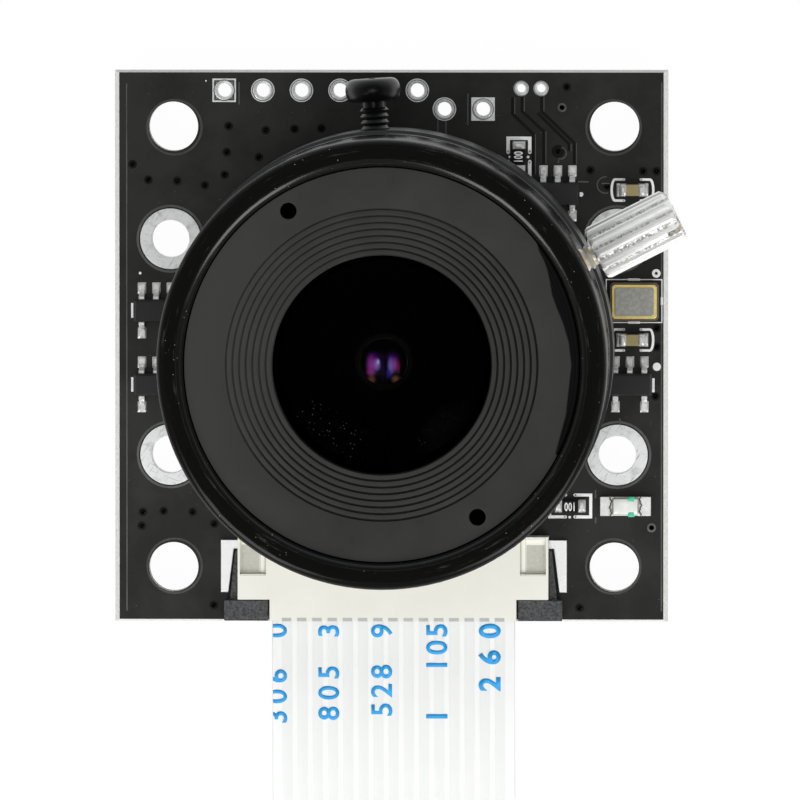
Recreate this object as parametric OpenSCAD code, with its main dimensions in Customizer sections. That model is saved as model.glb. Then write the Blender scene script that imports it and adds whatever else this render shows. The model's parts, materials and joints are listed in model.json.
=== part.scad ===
// Board camera with a screw-in lens: circuit board, lens mount, focusing lens,
// flat-cable connector and its flat cable. Units are millimetres.
// The board lies in XY with the middle of its underside at the origin. +Z is the way
// the lens looks, and the flat cable leaves towards -Y.

/* [Board] */
// Width of the printed face, along X
board_w = 35.8; // [35:0.1:40]
// Height of the printed face, along Y
board_h = 36.0; // [35:0.1:40]
// Thickness of the board
board_t = 1.6; // [1.2:0.1:2.4]
// How far the snapped web stands proud of the left and right edges
web_side = 0.3; // [0.1:0.05:0.5]
// How far the snapped web stands proud of the top and bottom edges
web_end = 0.15; // [0.05:0.01:0.4]
// How far the printed face lies off the middle of the corner holes, along X
face_shift_x = -0.17; // [-0.3:0.01:0.3]
// The same along Y
face_shift_y = 0.05; // [-0.3:0.01:0.3]
// Thickness of the web left between the two scored grooves
web_t = 0.6; // [0.3:0.1:1]
// Distance from the left or right edge to a corner hole's axis
hole_inset_x = 3.4; // [3:0.1:4]
// Distance from the top or bottom edge to a corner hole's axis
hole_inset_y = 3.5; // [3:0.1:4]
// Diameter of the corner holes
hole_d = 3.25; // [2.8:0.05:3.5]
// Distance from the left or right edge to a plated hole's axis
land_inset_x = 3.2; // [3.1:0.1:3.3]
// Distance between the plated holes, along Y
land_pitch_y = 14.2; // [13.9:0.1:14.4]
// Diameter of the hole in a plated land
land_hole_d = 2.6; // [2:0.1:3]
// Outer diameter of a plated land
land_d = 4.0; // [3.6:0.1:4.2]
// Thickness of the plating
plating_t = 0.06; // [0.03:0.01:0.1]

/* [Header pads] */
// Pitch of the header pads
header_pitch = 2.54; // [2.5:0.01:2.58]
// Number of pads in the long header
header_count = 6; // [4:1:6]
// Diameter of a header pad
header_pad_d = 1.55; // [1.4:0.05:1.8]
// Diameter of a header hole
header_hole_d = 1.05; // [0.8:0.05:1.1]
// Diameter of a small pad
small_pad_d = 1.0; // [0.9:0.05:1.2]
// Diameter of a small pad's hole
small_hole_d = 0.7; // [0.5:0.05:0.75]

/* [Sensor and filter] */
// Side of the square sensor package
sensor_side = 8.5; // [7:0.1:9.5]
// Height of the sensor package without its glass
sensor_h = 0.7; // [0.5:0.05:1]
// Thickness of the sensor's cover glass
sensor_glass_t = 0.45; // [0.3:0.05:0.8]
// Side of the square infrared filter
filter_side = 10; // [9:0.1:10.4]
// Thickness of the infrared filter
filter_t = 0.5; // [0.3:0.05:1]

/* [Lens mount] */
// Wall of the mount outside its thread
mount_wall = 1.9; // [1.6:0.1:2.4]
// Side of the square base under the cylinder
mount_base = 18; // [17.6:0.1:18.4]
// Height of the square base
mount_base_h = 5.0; // [4.5:0.1:5.4]
// Height of the mount's top face above the board
mount_h = 13.45; // [13.2:0.05:14]
// Diameter of the lens thread
thread_d = 25.4; // [24.8:0.1:25.8]
// Depth of the threaded bore
thread_depth = 4.8; // [4.4:0.1:5.2]
// Pitch of the lens thread
thread_pitch = 0.794; // [0.7:0.001:0.9]
// Distance from the base's edge to a rear screw's axis
rear_inset = 2.0; // [1.6:0.1:2.4]

/* [Lens] */
// How far the lens is set back from the mount's side
barrel_step = 0.2; // [0:0.1:0.6]
// Height of the fixed flange of the rear barrel
flange_h = 1.9; // [1.5:0.1:2.4]
// Gap between the fixed flange and the focusing barrel
focus_gap = 0.3; // [0.25:0.05:0.6]
// Length of the focusing barrel
barrel_len = 13.6; // [13.3:0.1:15]
// Wall of the focusing barrel over its guide
barrel_wall = 1.2; // [1:0.05:1.6]
// Width of the rim round the face
rim_w = 1.7; // [1.4:0.05:2]
// Depth of the face below the barrel's rim
face_drop = 0.5; // [0.3:0.05:0.8]
// Thickness of the face ring
face_t = 1.05; // [0.8:0.05:1.3]
// Diameter of the opening in the face ring
face_bore = 14.0; // [13:0.1:14.2]
// Number of grooves in the face ring
groove_count = 7; // [3:1:8]
// Pitch of the grooves
groove_pitch = 0.424; // [0.38:0.002:0.46]
// Depth of the grooves
groove_depth = 0.12; // [0.05:0.01:0.3]
// Width of a face groove
groove_w = 0.12; // [0.08:0.01:0.24]
// Diameter of the two spanner holes
spanner_d = 1.05; // [0.8:0.05:1.4]
// Distance from the face ring's edge to a spanner hole's axis
spanner_inset = 1.13; // [0.9:0.01:1.4]
// Diameter of the clear opening of the stop
stop_d = 2.3; // [1.2:0.1:2.6]

/* [Lock screws] */
// Thread diameter of the mount's black lock screw
lock_d = 1.9; // [1.6:0.05:1.95]
// Thread diameter of the thumb screw
thumb_d = 1.65; // [1.4:0.05:1.9]
// Distance from the mount's top face down to the black screw's axis
mount_screw_drop = 3.85; // [3:0.05:4.2]
// Angle of the black screw round the lens axis
mount_screw_angle = 93.7; // [85:0.1:100]
// Bare length of the black screw's shank
mount_screw_out = 1.8; // [0.6:0.1:3]
// Height of the thumb screw's axis above the focusing barrel's rear edge
thumb_rise = 6.3; // [2:0.1:7.5]
// Angle of the thumb screw round the lens axis
thumb_angle = 26.8; // [0:0.1:60]
// Bare length of the thumb screw's shank
thumb_out = 0.8; // [0.4:0.1:2]
// Diameter of the thumb screw's knob
knob_d = 3.6; // [2.8:0.1:4]
// Length of the knob
knob_len = 5.8; // [3:0.1:7]
// Number of flutes round the knob
flute_count = 12; // [10:1:18]
// Depth of a flute
flute_depth = 0.28; // [0.1:0.02:0.3]

/* [Connector] */
// Width of the housing beyond the cable, at each end
conn_end = 2.2; // [1.9:0.1:2.6]
// Depth of the connector's housing without its lip
conn_depth = 4.12; // [4:0.01:4.6]
// Height of the housing
conn_h = 2.5; // [2.3:0.05:3]
// Distance from the board's edge to the housing's back face
conn_inset = 5.6; // [5.5:0.05:5.8]
// Width of the lip beyond the cable, at each end
lip_over = 0.1; // [0.05:0.05:0.3]
// How far the lip stands out of the housing
lip_out = 1.41; // [0.8:0.01:1.6]
// Number of contacts
contact_count = 15; // [10:1:16]
// Pitch of the contacts
contact_pitch = 1.0; // [0.95:0.01:1.04]
// How far the latch's ears stand out beyond the housing
ear_over = 0.9; // [0.6:0.1:1.3]

/* [Flat cable] */
// Thickness of the flat cable
cable_t = 0.3; // [0.2:0.01:0.34]
// Length of the stiffened ends
stiffener_len = 6.0; // [4:0.5:9]
// Thickness of a stiffener
stiffener_t = 0.2; // [0.1:0.01:0.22]

/* [Small parts] */
// Length of a small resistor or capacitor
chip_len = 1.6; // [1.4:0.05:1.8]
// Width of a small resistor or capacitor
chip_wid = 0.8; // [0.6:0.05:1]
// Height of a small capacitor
capacitor_h = 0.8; // [0.4:0.05:1]
// Height of a small resistor
resistor_h = 0.45; // [0.3:0.05:0.6]
// Length of a small chip's body
sot_len = 2.9; // [2.6:0.05:3.1]
// Width of a small chip's body
sot_wid = 1.5; // [1.4:0.05:1.8]
// Height of a small chip's body
sot_h = 1.1; // [0.8:0.05:1.3]
// Pitch of a small chip's leads
sot_pitch = 0.95; // [0.9:0.01:1]
// Length of the oscillator
osc_len = 3.2; // [3:0.05:3.4]
// Width of the oscillator
osc_wid = 2.5; // [2.3:0.05:2.6]

/* [Fits] */
// Gap between flat pieces that slide or are laid side by side
slide_gap = 0.08; // [0.05:0.01:0.12]
// Radial gap of a turning fit
turn_gap = 0.05; // [0.02:0.01:0.1]
// Radial gap between pieces that pass without touching
free_gap = 0.3; // [0.25:0.05:0.5]

/* [Hidden] */
$fn = 96;

eps = 0.01;                     // how far a cutter passes the face it opens
top_z = board_t;                // the board's printed face, which carries the parts

// ---- places on the board
edge_x = board_w / 2;
edge_y = board_h / 2;
hole_pitch_x = board_w - 2 * hole_inset_x;
hole_pitch_y = board_h - 2 * hole_inset_y;
land_pitch_x = board_w - 2 * land_inset_x;
header_y = edge_y - 1.13;                 // row of the long header
header_inset = 6.74;                      // from the left edge to the first, square pad
header_x = -edge_x + header_inset;
pair_x = header_x + header_count * header_pitch - 0.76;   // first pad of the short header
pair_y = edge_y - 2.36;
small_pad_step = 2.51;
small_pad_x = pair_x + header_pitch + small_pad_step;   // first of the two small pads
small_pad_y = edge_y - 1.0;
small_pad_pitch = small_pad_d + 0.3;
base_edge = mount_base / 2;
logic_at = [base_edge + 1.78, base_edge + 1.1];
chip_inset_r = 2.38;                      // from the right and left edges to the chips beside them
chip_inset_l = 2.27;
regulators_at = [[edge_x - chip_inset_r, -2.45], [-edge_x + chip_inset_l, 2.38],
                 [-edge_x + chip_inset_l, -2.49]];
capacitors_at = [[edge_x - 2.22, 10.33], [edge_x - 2.22, 0.47]];
oscillator_at = [edge_x - 2.08, 3.0];
led_inset = 2.66;
led_at = [edge_x - led_inset, -10.47];
// Each resistor's place and its turn: the first over the base, the second beside the lamp.
resistor_rise = 3.5;
resistor_step = 3.64;
resistors_at = [[base_edge - 0.78, base_edge + resistor_rise, 90], [led_at[0] - resistor_step, led_at[1], 0]];

// ---- lens mount
mount_top = top_z + mount_h;
mount_low = top_z + mount_base_h;         // underside of the cylinder
thread_r = thread_d / 2;
mount_r = thread_r + mount_wall;
thread_floor = mount_top - thread_depth;
cavity_side = sensor_side + 1.7;          // light-tight room round the sensor
window_side = sensor_side - 0.1;
cavity_h = 3.0;
filter_ledge = 0.6;                       // thickness of the ledge that the filter lies on
cavity_top = top_z + cavity_h;
filter_z = cavity_top + filter_ledge;
filter_bore_r = filter_side / sqrt(2) + 0.4;
baffle_z = mount_low + 1.0;               // where the room opens out above the base
baffle_r = thread_r - 1.7;
rear_screw_r = 1.0;
rear_head_r = 1.9;
rear_head_h = 1.3;
rear_screw_depth = 4.6;                   // thread length inside the mount
rear_off = base_edge - rear_inset;
rear_at = [for (x = [-1, 1], y = [-1, 1]) [x * rear_off, y * rear_off]];
mount_corner = 1.2;                       // cut corner of the base

// ---- lens
flange_z = mount_top + 0.05;              // seat of the lens on the mount
flange_top = flange_z + flange_h;
barrel_low = flange_top + focus_gap;
barrel_top = barrel_low + barrel_len;
barrel_r = mount_r - barrel_step;
rim_round = 0.5;                          // rounded outer edge of the rim
rim_chamfer = 0.5;                        // rounded inner edge of the rim
rim_line = 0.08;                          // depth of the fine line turned under the rim
face_seat_r = barrel_r - rim_w;
face_r = face_seat_r - 0.07;
spanner_r = face_r - spanner_inset;
face_top = barrel_top - face_drop;
face_low = face_top - face_t;
guide_r = barrel_r - barrel_wall;
guide_wall = 1.7;
guide_bore_r = guide_r - guide_wall;
head_h = 1.7;                             // thickness of the cell's head
head_low = face_low - head_h;
web_low = head_low - 0.8;                 // underside of the web that carries the cell
guide_top = web_low - free_gap;
cell_r = guide_bore_r - free_gap;
snout_r = 7.5;
snout_low = mount_low + 2.0;              // rear end of the lens
shoulder_z = flange_top + 0.4;            // where the cell widens from its snout
tail_z = thread_floor + 0.8;              // rear end of the thread
tail_bore_r = snout_r + 0.5;

// ---- optical pieces, from the front
glass_r = face_bore / 2 + 0.3;
dome_r = 22;                              // curvature of the front element
glass_t = 1.2;
glass_seat = face_low - 1.25;             // ledge under the front element's edge
funnel_r = glass_r - 0.7;
funnel_low = glass_seat - 2.25;
lip_r = 1.85;                             // small end of the funnel
lip_t = 0.2;
second_r = 2.6;
second_t = 1.5;
second_bow = 9;                           // curvature of the second element
second_top = funnel_low - lip_t;
second_low = second_top - second_t;
train_r = 5.0;                            // bore for the rear group
train_top = second_low - 0.1;
stop_t = 0.25;
spacer_wall = 1.1;
glass_land = 1.5;                         // flat edge that the spacers press on
retainer_wall = 1.4;
front_spacer_len = 3.4;
middle_edge = 1.9;                        // edge thickness of the middle element
middle_bow = 14;                          // curvature of its faces
rear_edge = 1.5;
rear_bow = 18;
retainer_len = 1.3;
stop_low = train_top - stop_t;
front_spacer_low = stop_low - front_spacer_len;
middle_low = front_spacer_low - middle_edge;
retainer_low = snout_low + 0.1;
rear_low = retainer_low + retainer_len;
rear_spacer_low = rear_low + rear_edge;
rear_spacer_len = middle_low - rear_spacer_low;

// ---- lock screws
mount_screw_z = mount_h - mount_screw_drop;       // heights above the board
thumb_z = barrel_low - top_z + thumb_rise;
lock_r = lock_d / 2;
thumb_r = thumb_d / 2;
lock_pitch = 0.4;
lock_root = 0.17;                         // depth of the lock screws' thread
mount_screw_tip = thread_r + 0.12;
mount_screw_head_r = 1.8;
mount_screw_head_h = 1.5;
head_round = 0.5;                         // how far the head's ends draw in
thumb_tip = guide_r + 0.15;
knob_slot_w = 0.55;
knob_slot_depth = 1.05;
knob_slot_turn = 36;                      // how far the slot is turned from upright

// ---- connector, heights above the board
cable_w = (contact_count + 1) * contact_pitch;
conn_w = cable_w + 2 * conn_end;
lip_w = cable_w + 2 * lip_over;
latch_w = conn_w + 2 * ear_over;
conn_back_y = -edge_y + conn_inset;
conn_floor = 0.5;                         // floor of the slot, on which the contacts lie
conn_roof = 1.75;                         // underside of the roof
conn_front_y = conn_back_y - conn_depth;
lip_y = conn_front_y - lip_out;
mouth_notch = 0.22;                        // depth of the notches in the lip's edge, one per contact
slot_half = lip_w / 2 + 0.5;
slot_back_y = conn_back_y - 0.9;
contact_t = 0.2;
contact_w = 0.3;
contact_tail = 0.7;
cable_low = conn_floor + contact_t + 0.03;
cable_z = top_z + cable_low + cable_t / 2;
stiff_low = cable_low + cable_t;
latch_low = stiff_low + stiffener_t + slide_gap;
latch_high = conn_roof - slide_gap;
ear_gap = 0.12;                           // room between the lip and an ear
ear_in = lip_w / 2 + ear_gap;
ear_out = latch_w / 2;
ear_back_y = conn_front_y - slide_gap;
ear_front_y = lip_y;
pocket_in = conn_w / 2 - 1.85;            // shallow pocket in the roof, near each end
pocket_out = conn_w / 2 - 0.15;
pocket_depth = 0.3;
pocket_back_y = conn_back_y - 0.2;
pocket_len = 2.25;
pocket_front_y = pocket_back_y - pocket_len;
tab_out = conn_w / 2 + 1.2;
tab_t = 0.3;
tab_back_y = conn_back_y - 0.3;
tab_front_y = conn_front_y + 0.35;
arm_taper = 0.5;                          // width of the latch's arm at its root

// ---- flat cable
cable_start_y = slot_back_y - 0.3;
cable_skin = 0.06;                        // cut corner of the flat section
inner_stiffener_len = cable_start_y - lip_y - 0.4;   // it ends just inside the lip
strip_len = 4;                            // bare length of the contact strips
strip_t = 0.04;
rest_z = -rear_head_h;                    // surface that the camera lies on
lay_z = rest_z + cable_t / 2 + 0.05;
// The cable's route as [distance along -Y from the slot, share of the drop to the surface].
route = [
  [0, 0], [2, 0], [5, 0], [8, 0.02], [11, 0.09], [14, 0.21], [17, 0.37], [20, 0.55], [23, 0.73],
  [26, 0.87], [29, 0.96], [32, 1], [40, 1], [50, 1], [60, 1], [70, 1], [80, 1], [90, 1],
  [100, 1], [110, 1], [120, 1], [130, 1], [140, 1], [149.7, 1]
];
route_points = [for (p = route) [0, cable_start_y - p[0], cable_z + p[1] * (lay_z - cable_z)]];
cable_end_y = route_points[len(route) - 1][1];

function arc(r, a0, a1, n) = [for (i = [0:n]) let (a = a0 + (a1 - a0) * i / n) [r * cos(a), r * sin(a)]];
function sag(r, h) = r - sqrt(r * r - h * h);
// Points of a domed lens surface of radius r from the axis out to h1, with its crown at height z.
function crown(r, z, h1, n = 8) = [for (i = [0:n]) let (h = h1 * i / n) [h, z - sag(r, h)]];

// ---- shapes that repeat
module tube(r_out, r_in, z0, z1) {
  translate([0, 0, z0]) difference() {
    cylinder(r = r_out, h = z1 - z0);
    translate([0, 0, -eps]) cylinder(r = r_in, h = z1 - z0 + 2 * eps);
  }
}

module block(x, y, z) {
  translate([x[0], y[0], z[0]]) cube([x[1] - x[0], y[1] - y[0], z[1] - z[0]]);
}

module both_sides() {
  children();
  mirror([1, 0, 0]) children();
}

// Ridged shank along +Z from z0 to z1, with a crest every pitch.
module threaded_shank(r, root, pitch, z0, z1) {
  turns = floor((z1 - z0) / pitch);
  rotate_extrude($fn = 48) polygon(concat(
    [[0, z0], [r - root, z0]],
    [for (i = [0:turns - 1], k = [0, 1]) [r - (k == 0 ? root : 0), z0 + (i + k * 0.5) * pitch + eps]],
    [[r - root, z0 + turns * pitch], [r - root, z1], [0, z1]]
  ));
}

// Plated hole: a sleeve through the board with a rim on each face.
module eyelet(hole, pad, square_pad = false) {
  difference() {
    union() {
      translate([0, 0, -plating_t]) pad_disc(pad, square_pad);
      translate([0, 0, board_t]) pad_disc(pad, square_pad);
      cylinder(d = hole, h = board_t, $fn = 48);
    }
    translate([0, 0, -1]) cylinder(d = hole - 2 * plating_t, h = board_t + 2, $fn = 48);
  }
}

module pad_disc(pad, square_pad) {
  if (square_pad) translate([-pad / 2, -pad / 2, 0]) cube([pad, pad, plating_t]);
  else cylinder(d = pad, h = plating_t, $fn = 48);
}

module at_header_pads() {
  for (i = [0:header_count - 1]) translate([header_x + i * header_pitch, header_y, 0]) children();
  for (i = [0, 1]) translate([pair_x + i * header_pitch, pair_y, 0]) children();
}

module at_small_pads() {
  for (i = [0, 1]) translate([small_pad_x + i * small_pad_pitch, small_pad_y, 0]) children();
}

module at_corners(dx, dy) {
  for (x = [-1, 1], y = [-1, 1]) translate([x * dx / 2, y * dy / 2, 0]) children();
}

// ---- circuit board
// Slab whose edges slope out to the web left by the scoring, seen along X or Y.
module scored_slab(width, depth, web) {
  slope = (board_t - web_t) / 2;
  translate([0, depth / 2, 0]) rotate([90, 0, 0]) linear_extrude(depth) polygon([
    [-width / 2, 0], [width / 2, 0], [width / 2 + web, slope], [width / 2 + web, board_t - slope],
    [width / 2, board_t], [-width / 2, board_t], [-width / 2 - web, board_t - slope],
    [-width / 2 - web, slope]
  ]);
}

module circuit_board() {
  color([0.14, 0.14, 0.14]) difference() {
    translate([face_shift_x, face_shift_y, 0]) intersection() {
      scored_slab(board_w, board_h + 2, web_side);
      rotate([0, 0, 90]) scored_slab(board_h, board_w + 2, web_end);
    }
    translate([0, 0, -1]) {
      at_corners(hole_pitch_x, hole_pitch_y) cylinder(d = hole_d, h = board_t + 2);
      at_corners(land_pitch_x, land_pitch_y) cylinder(d = land_hole_d, h = board_t + 2);
      at_header_pads() cylinder(d = header_hole_d, h = board_t + 2, $fn = 48);
      at_small_pads() cylinder(d = small_hole_d, h = board_t + 2, $fn = 48);
      for (p = rear_at) translate(p) cylinder(r = rear_screw_r + 0.1, h = board_t + 2, $fn = 48);
    }
  }
}

module mounting_lands() {
  color([0.78, 0.78, 0.76]) at_corners(land_pitch_x, land_pitch_y) eyelet(land_hole_d, land_d);
}

module header_pads() {
  color([0.78, 0.78, 0.76]) {
    for (i = [0:header_count - 1]) translate([header_x + i * header_pitch, header_y, 0])
      eyelet(header_hole_d, header_pad_d, i == 0);
    for (i = [0, 1]) translate([pair_x + i * header_pitch, pair_y, 0])
      eyelet(header_hole_d, header_pad_d, i == 1);
    at_small_pads() eyelet(small_hole_d, small_pad_d);
  }
}

// ---- sensor and filter
module centred_slab(side, z0, h) {
  translate([-side / 2, -side / 2, z0]) cube([side, side, h]);
}

module image_sensor() {
  color([0.1, 0.1, 0.11]) centred_slab(sensor_side, top_z, sensor_h);
}

module sensor_glass() {
  color([0.5, 0.6, 0.6, 0.6]) centred_slab(sensor_side - 0.4, top_z + sensor_h, sensor_glass_t);
}

module infrared_filter() {
  color([0.4, 0.6, 0.6, 0.6]) centred_slab(filter_side, filter_z, filter_t);
}

// ---- lens mount: a square base with a threaded cylinder on it
module lens_mount() {
  color([0.07, 0.07, 0.07]) difference() {
    union() {
      translate([0, 0, top_z]) linear_extrude(mount_base_h + eps) polygon([
        for (s = [[1, 1], [-1, 1], [-1, -1], [1, -1]], k = [0, 1])
          let (first = (s[0] * s[1] > 0) ? k == 0 : k == 1)
          [s[0] * (base_edge - (first ? 0 : mount_corner)), s[1] * (base_edge - (first ? mount_corner : 0))]
      ]);
      rotate_extrude() polygon([
        [0, mount_low], [mount_r - 0.6, mount_low], [mount_r, mount_low + 0.6],
        [mount_r, mount_top - 0.25], [mount_r - 0.25, mount_top], [0, mount_top]
      ]);
    }
    centred_slab(cavity_side, top_z - eps, cavity_top - top_z + eps);
    centred_slab(window_side, top_z, filter_z - top_z + eps);
    translate([0, 0, filter_z]) cylinder(r = filter_bore_r, h = mount_h);
    translate([0, 0, baffle_z]) cylinder(r = baffle_r, h = mount_h);
    translate([0, 0, thread_floor]) cylinder(r = thread_r, h = mount_h);
    for (p = rear_at) translate([p[0], p[1], top_z - eps])
      cylinder(r = rear_screw_r, h = rear_screw_depth + 0.3, $fn = 48);
    on_axis(mount_screw_angle, mount_screw_z) cylinder(r = lock_r + turn_gap, h = mount_r + 1, $fn = 48);
  }
}

// Turns +Z to a radius of the lens at an angle round it and a height above the board.
module on_axis(angle, z) {
  translate([0, 0, top_z + z]) rotate([0, 90, angle]) children();
}

module mount_screws() {
  color([0.12, 0.12, 0.12]) for (p = rear_at) translate([p[0], p[1], -rear_head_h]) difference() {
    union() {
      rotate_extrude($fn = 48) polygon([
        [0, 0], [rear_head_r - 0.35, 0], [rear_head_r, 0.45], [rear_head_r, rear_head_h], [0, rear_head_h]
      ]);
      cylinder(r = rear_screw_r - 0.02, h = rear_head_h + board_t + rear_screw_depth, $fn = 48);
    }
    cross_recess(1.9, 0.7);
  }
}

// Cross-shaped driver recess in a head whose face is at z = 0.
module cross_recess(span, depth) {
  for (a = [0, 90]) rotate([0, 0, a]) translate([-span / 2, -0.22, -eps]) cube([span, 0.44, depth + eps]);
}

module mount_lock_screw() {
  head_z = mount_r + mount_screw_out;
  color([0.06, 0.06, 0.06]) on_axis(mount_screw_angle, mount_screw_z) {
    threaded_shank(lock_r, lock_root, lock_pitch, mount_screw_tip, head_z + eps);
    difference() {
      rotate_extrude($fn = 64) polygon(concat(
        [[0, head_z], [mount_screw_head_r - head_round, head_z]],
        [for (a = [-72:18:72]) [mount_screw_head_r - head_round * (1 - cos(a)),
                                head_z + mount_screw_head_h / 2 + sin(a) * mount_screw_head_h / 2]],
        [[mount_screw_head_r - head_round, head_z + mount_screw_head_h], [0, head_z + mount_screw_head_h]]
      ));
      translate([0, 0, head_z + mount_screw_head_h]) mirror([0, 0, 1]) cross_recess(1.9, 0.8);
    }
  }
}

// ---- lens
// Rear barrel: the lens thread, its flange and the guide that the focusing barrel turns on.
module rear_barrel() {
  crest = thread_r - turn_gap;
  root = crest - 0.45;
  turns = floor((flange_z - 0.5 - tail_z) / thread_pitch);
  color([0.09, 0.09, 0.09]) rotate_extrude() polygon(concat(
    [[tail_bore_r, tail_z], [root, tail_z]],
    [for (i = [0:turns - 1], k = [0.1, 0.45, 0.6, 0.95])
      [(k == 0.1 || k == 0.95) ? root : crest, tail_z + (i + k) * thread_pitch]],
    [[root, flange_z], [barrel_r - 0.2, flange_z], [barrel_r, flange_z + 0.2],
     [barrel_r, flange_top - 0.2], [barrel_r - 0.2, flange_top], [guide_r, flange_top],
     [guide_r, guide_top], [guide_bore_r, guide_top], [guide_bore_r, flange_top],
     [tail_bore_r, flange_top - 0.6]]
  ));
}

// Focusing barrel: rounded rim, inner chamfer, and a web that carries the lens cell.
module focus_barrel() {
  rim_in = face_seat_r + rim_chamfer;
  bore_r = guide_r + turn_gap;
  color([0.07, 0.07, 0.07]) difference() {
    rotate_extrude() polygon(concat(
      [[bore_r, barrel_low], [barrel_r - 0.2, barrel_low], [barrel_r, barrel_low + 0.2]],
      [for (k = [0, 1, 2]) [barrel_r - (k == 1 ? rim_line : 0), barrel_top - rim_round - 0.3 + k * 0.1]],
      [for (p = arc(rim_round, 0, 90, 6)) [barrel_r - rim_round + p[0], barrel_top - rim_round + p[1]]],
      [for (p = arc(rim_chamfer, 90, 180, 6)) [rim_in + p[0], barrel_top - rim_chamfer + p[1]]],
      [[face_seat_r, head_low],
       [cell_r + 0.1, head_low], [cell_r + 0.1, web_low], [bore_r, web_low]]
    ));
    on_axis(thumb_angle, thumb_z) translate([0, 0, guide_r - 1])
      cylinder(r = thumb_r + turn_gap, h = barrel_r - guide_r + 2, $fn = 48);
  }
}

// Face ring: a screwed retainer with fine grooves and two spanner holes.
module face_ring() {
  first = face_bore / 2 + 0.42;
  cut = groove_w / 2;
  color([0.16, 0.16, 0.16]) difference() {
    rotate_extrude() polygon(concat(
      [[face_bore / 2, face_low], [face_r, face_low], [face_r, face_top]],
      [for (i = [groove_count - 1:-1:0], k = [1, 0, -1])
        [first + i * groove_pitch + k * cut, face_top - (k == 0 ? groove_depth : 0)]],
      [[face_bore / 2 + 0.08, face_top], [face_bore / 2, face_top - 0.08]]
    ));
    for (a = [121.2, 302.2]) rotate([0, 0, a]) translate([spanner_r, 0, face_low - eps])
      cylinder(d = spanner_d, h = face_t + 2 * eps, $fn = 48);
  }
}

// Lens cell: the inner barrel that holds the glass, with a black funnel at its front.
module lens_cell() {
  color([0.05, 0.05, 0.05]) difference() {
    rotate_extrude() polygon([
      [0, snout_low], [snout_r - 0.4, snout_low], [snout_r, snout_low + 0.4], [snout_r, shoulder_z],
      [cell_r, shoulder_z + 0.6], [cell_r, head_low], [face_seat_r - turn_gap, head_low],
      [face_seat_r - turn_gap, face_low], [0, face_low]
    ]);
    translate([0, 0, glass_seat]) cylinder(r = glass_r + turn_gap, h = head_h);
    rotate_extrude() polygon([
      [0, funnel_low - lip_t - eps], [lip_r, funnel_low - lip_t - eps], [lip_r, funnel_low],
      [funnel_r, glass_seat - 0.1], [funnel_r, glass_seat + eps], [0, glass_seat + eps]
    ]);
    translate([0, 0, second_low]) cylinder(r = second_r + turn_gap, h = second_t);
    translate([0, 0, train_top]) cylinder(r = second_r + turn_gap, h = second_low - train_top + eps);
    translate([0, 0, snout_low - eps]) cylinder(r = train_r + turn_gap, h = train_top - snout_low + eps);
  }
}

// Front element: a domed glass of even thickness, ground to a flat seat at its edge.
module front_element() {
  clear_r = face_bore / 2 - 0.05;
  edge_z = face_low - 0.02;
  crown_z = edge_z + sag(dome_r, clear_r);
  inner_r = funnel_r - 0.1;
  color([0.3, 0.3, 0.4, 0.4]) rotate_extrude() polygon(concat(
    crown(dome_r, crown_z, clear_r),
    [[glass_r, edge_z], [glass_r, glass_seat], [inner_r, glass_seat]],
    [for (i = [8:-1:0]) let (h = inner_r * i / 8)
      [h, crown_z - glass_t - sag(dome_r - glass_t, h)]]
  ));
}

module second_element() {
  color([0.4, 0.2, 0.5, 0.5]) rotate_extrude($fn = 64) polygon(concat(
    crown(second_bow, second_top - eps, second_r),
    [[second_r, second_low], [0, second_low]]
  ));
}

module aperture_stop() {
  color([0.08, 0.08, 0.08]) tube(train_r, stop_d / 2, stop_low, train_top);
}

module front_spacer() {
  color([0.08, 0.08, 0.08]) tube(train_r, train_r - spacer_wall, front_spacer_low, stop_low);
}

// Glass of the rear group: both faces bulge, and the edge is ground flat.
module bulged_glass(edge, bow, low) {
  clear_r = train_r - glass_land;
  rotate_extrude() polygon(concat(
    crown(bow, low + edge + sag(bow, clear_r), clear_r),
    [[train_r, low + edge], [train_r, low]],
    [for (i = [8:-1:0]) let (h = clear_r * i / 8) [h, low - sag(bow, clear_r) + sag(bow, h)]]
  ));
}

module middle_element() {
  color([0.5, 0.6, 0.7, 0.5]) bulged_glass(middle_edge, middle_bow, middle_low);
}

module rear_spacer() {
  color([0.08, 0.08, 0.08]) tube(train_r, train_r - spacer_wall, rear_spacer_low, middle_low);
}

module rear_element() {
  color([0.5, 0.6, 0.7, 0.5]) bulged_glass(rear_edge, rear_bow, rear_low);
}

module rear_retainer() {
  color([0.08, 0.08, 0.08]) difference() {
    tube(train_r, train_r - retainer_wall, retainer_low, rear_low);
    for (a = [0, 180]) rotate([0, 0, a])
      block([train_r - retainer_wall + 0.2, train_r + 1], [-0.4, 0.4], [retainer_low - eps, retainer_low + 0.6]);
  }
}

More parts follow.
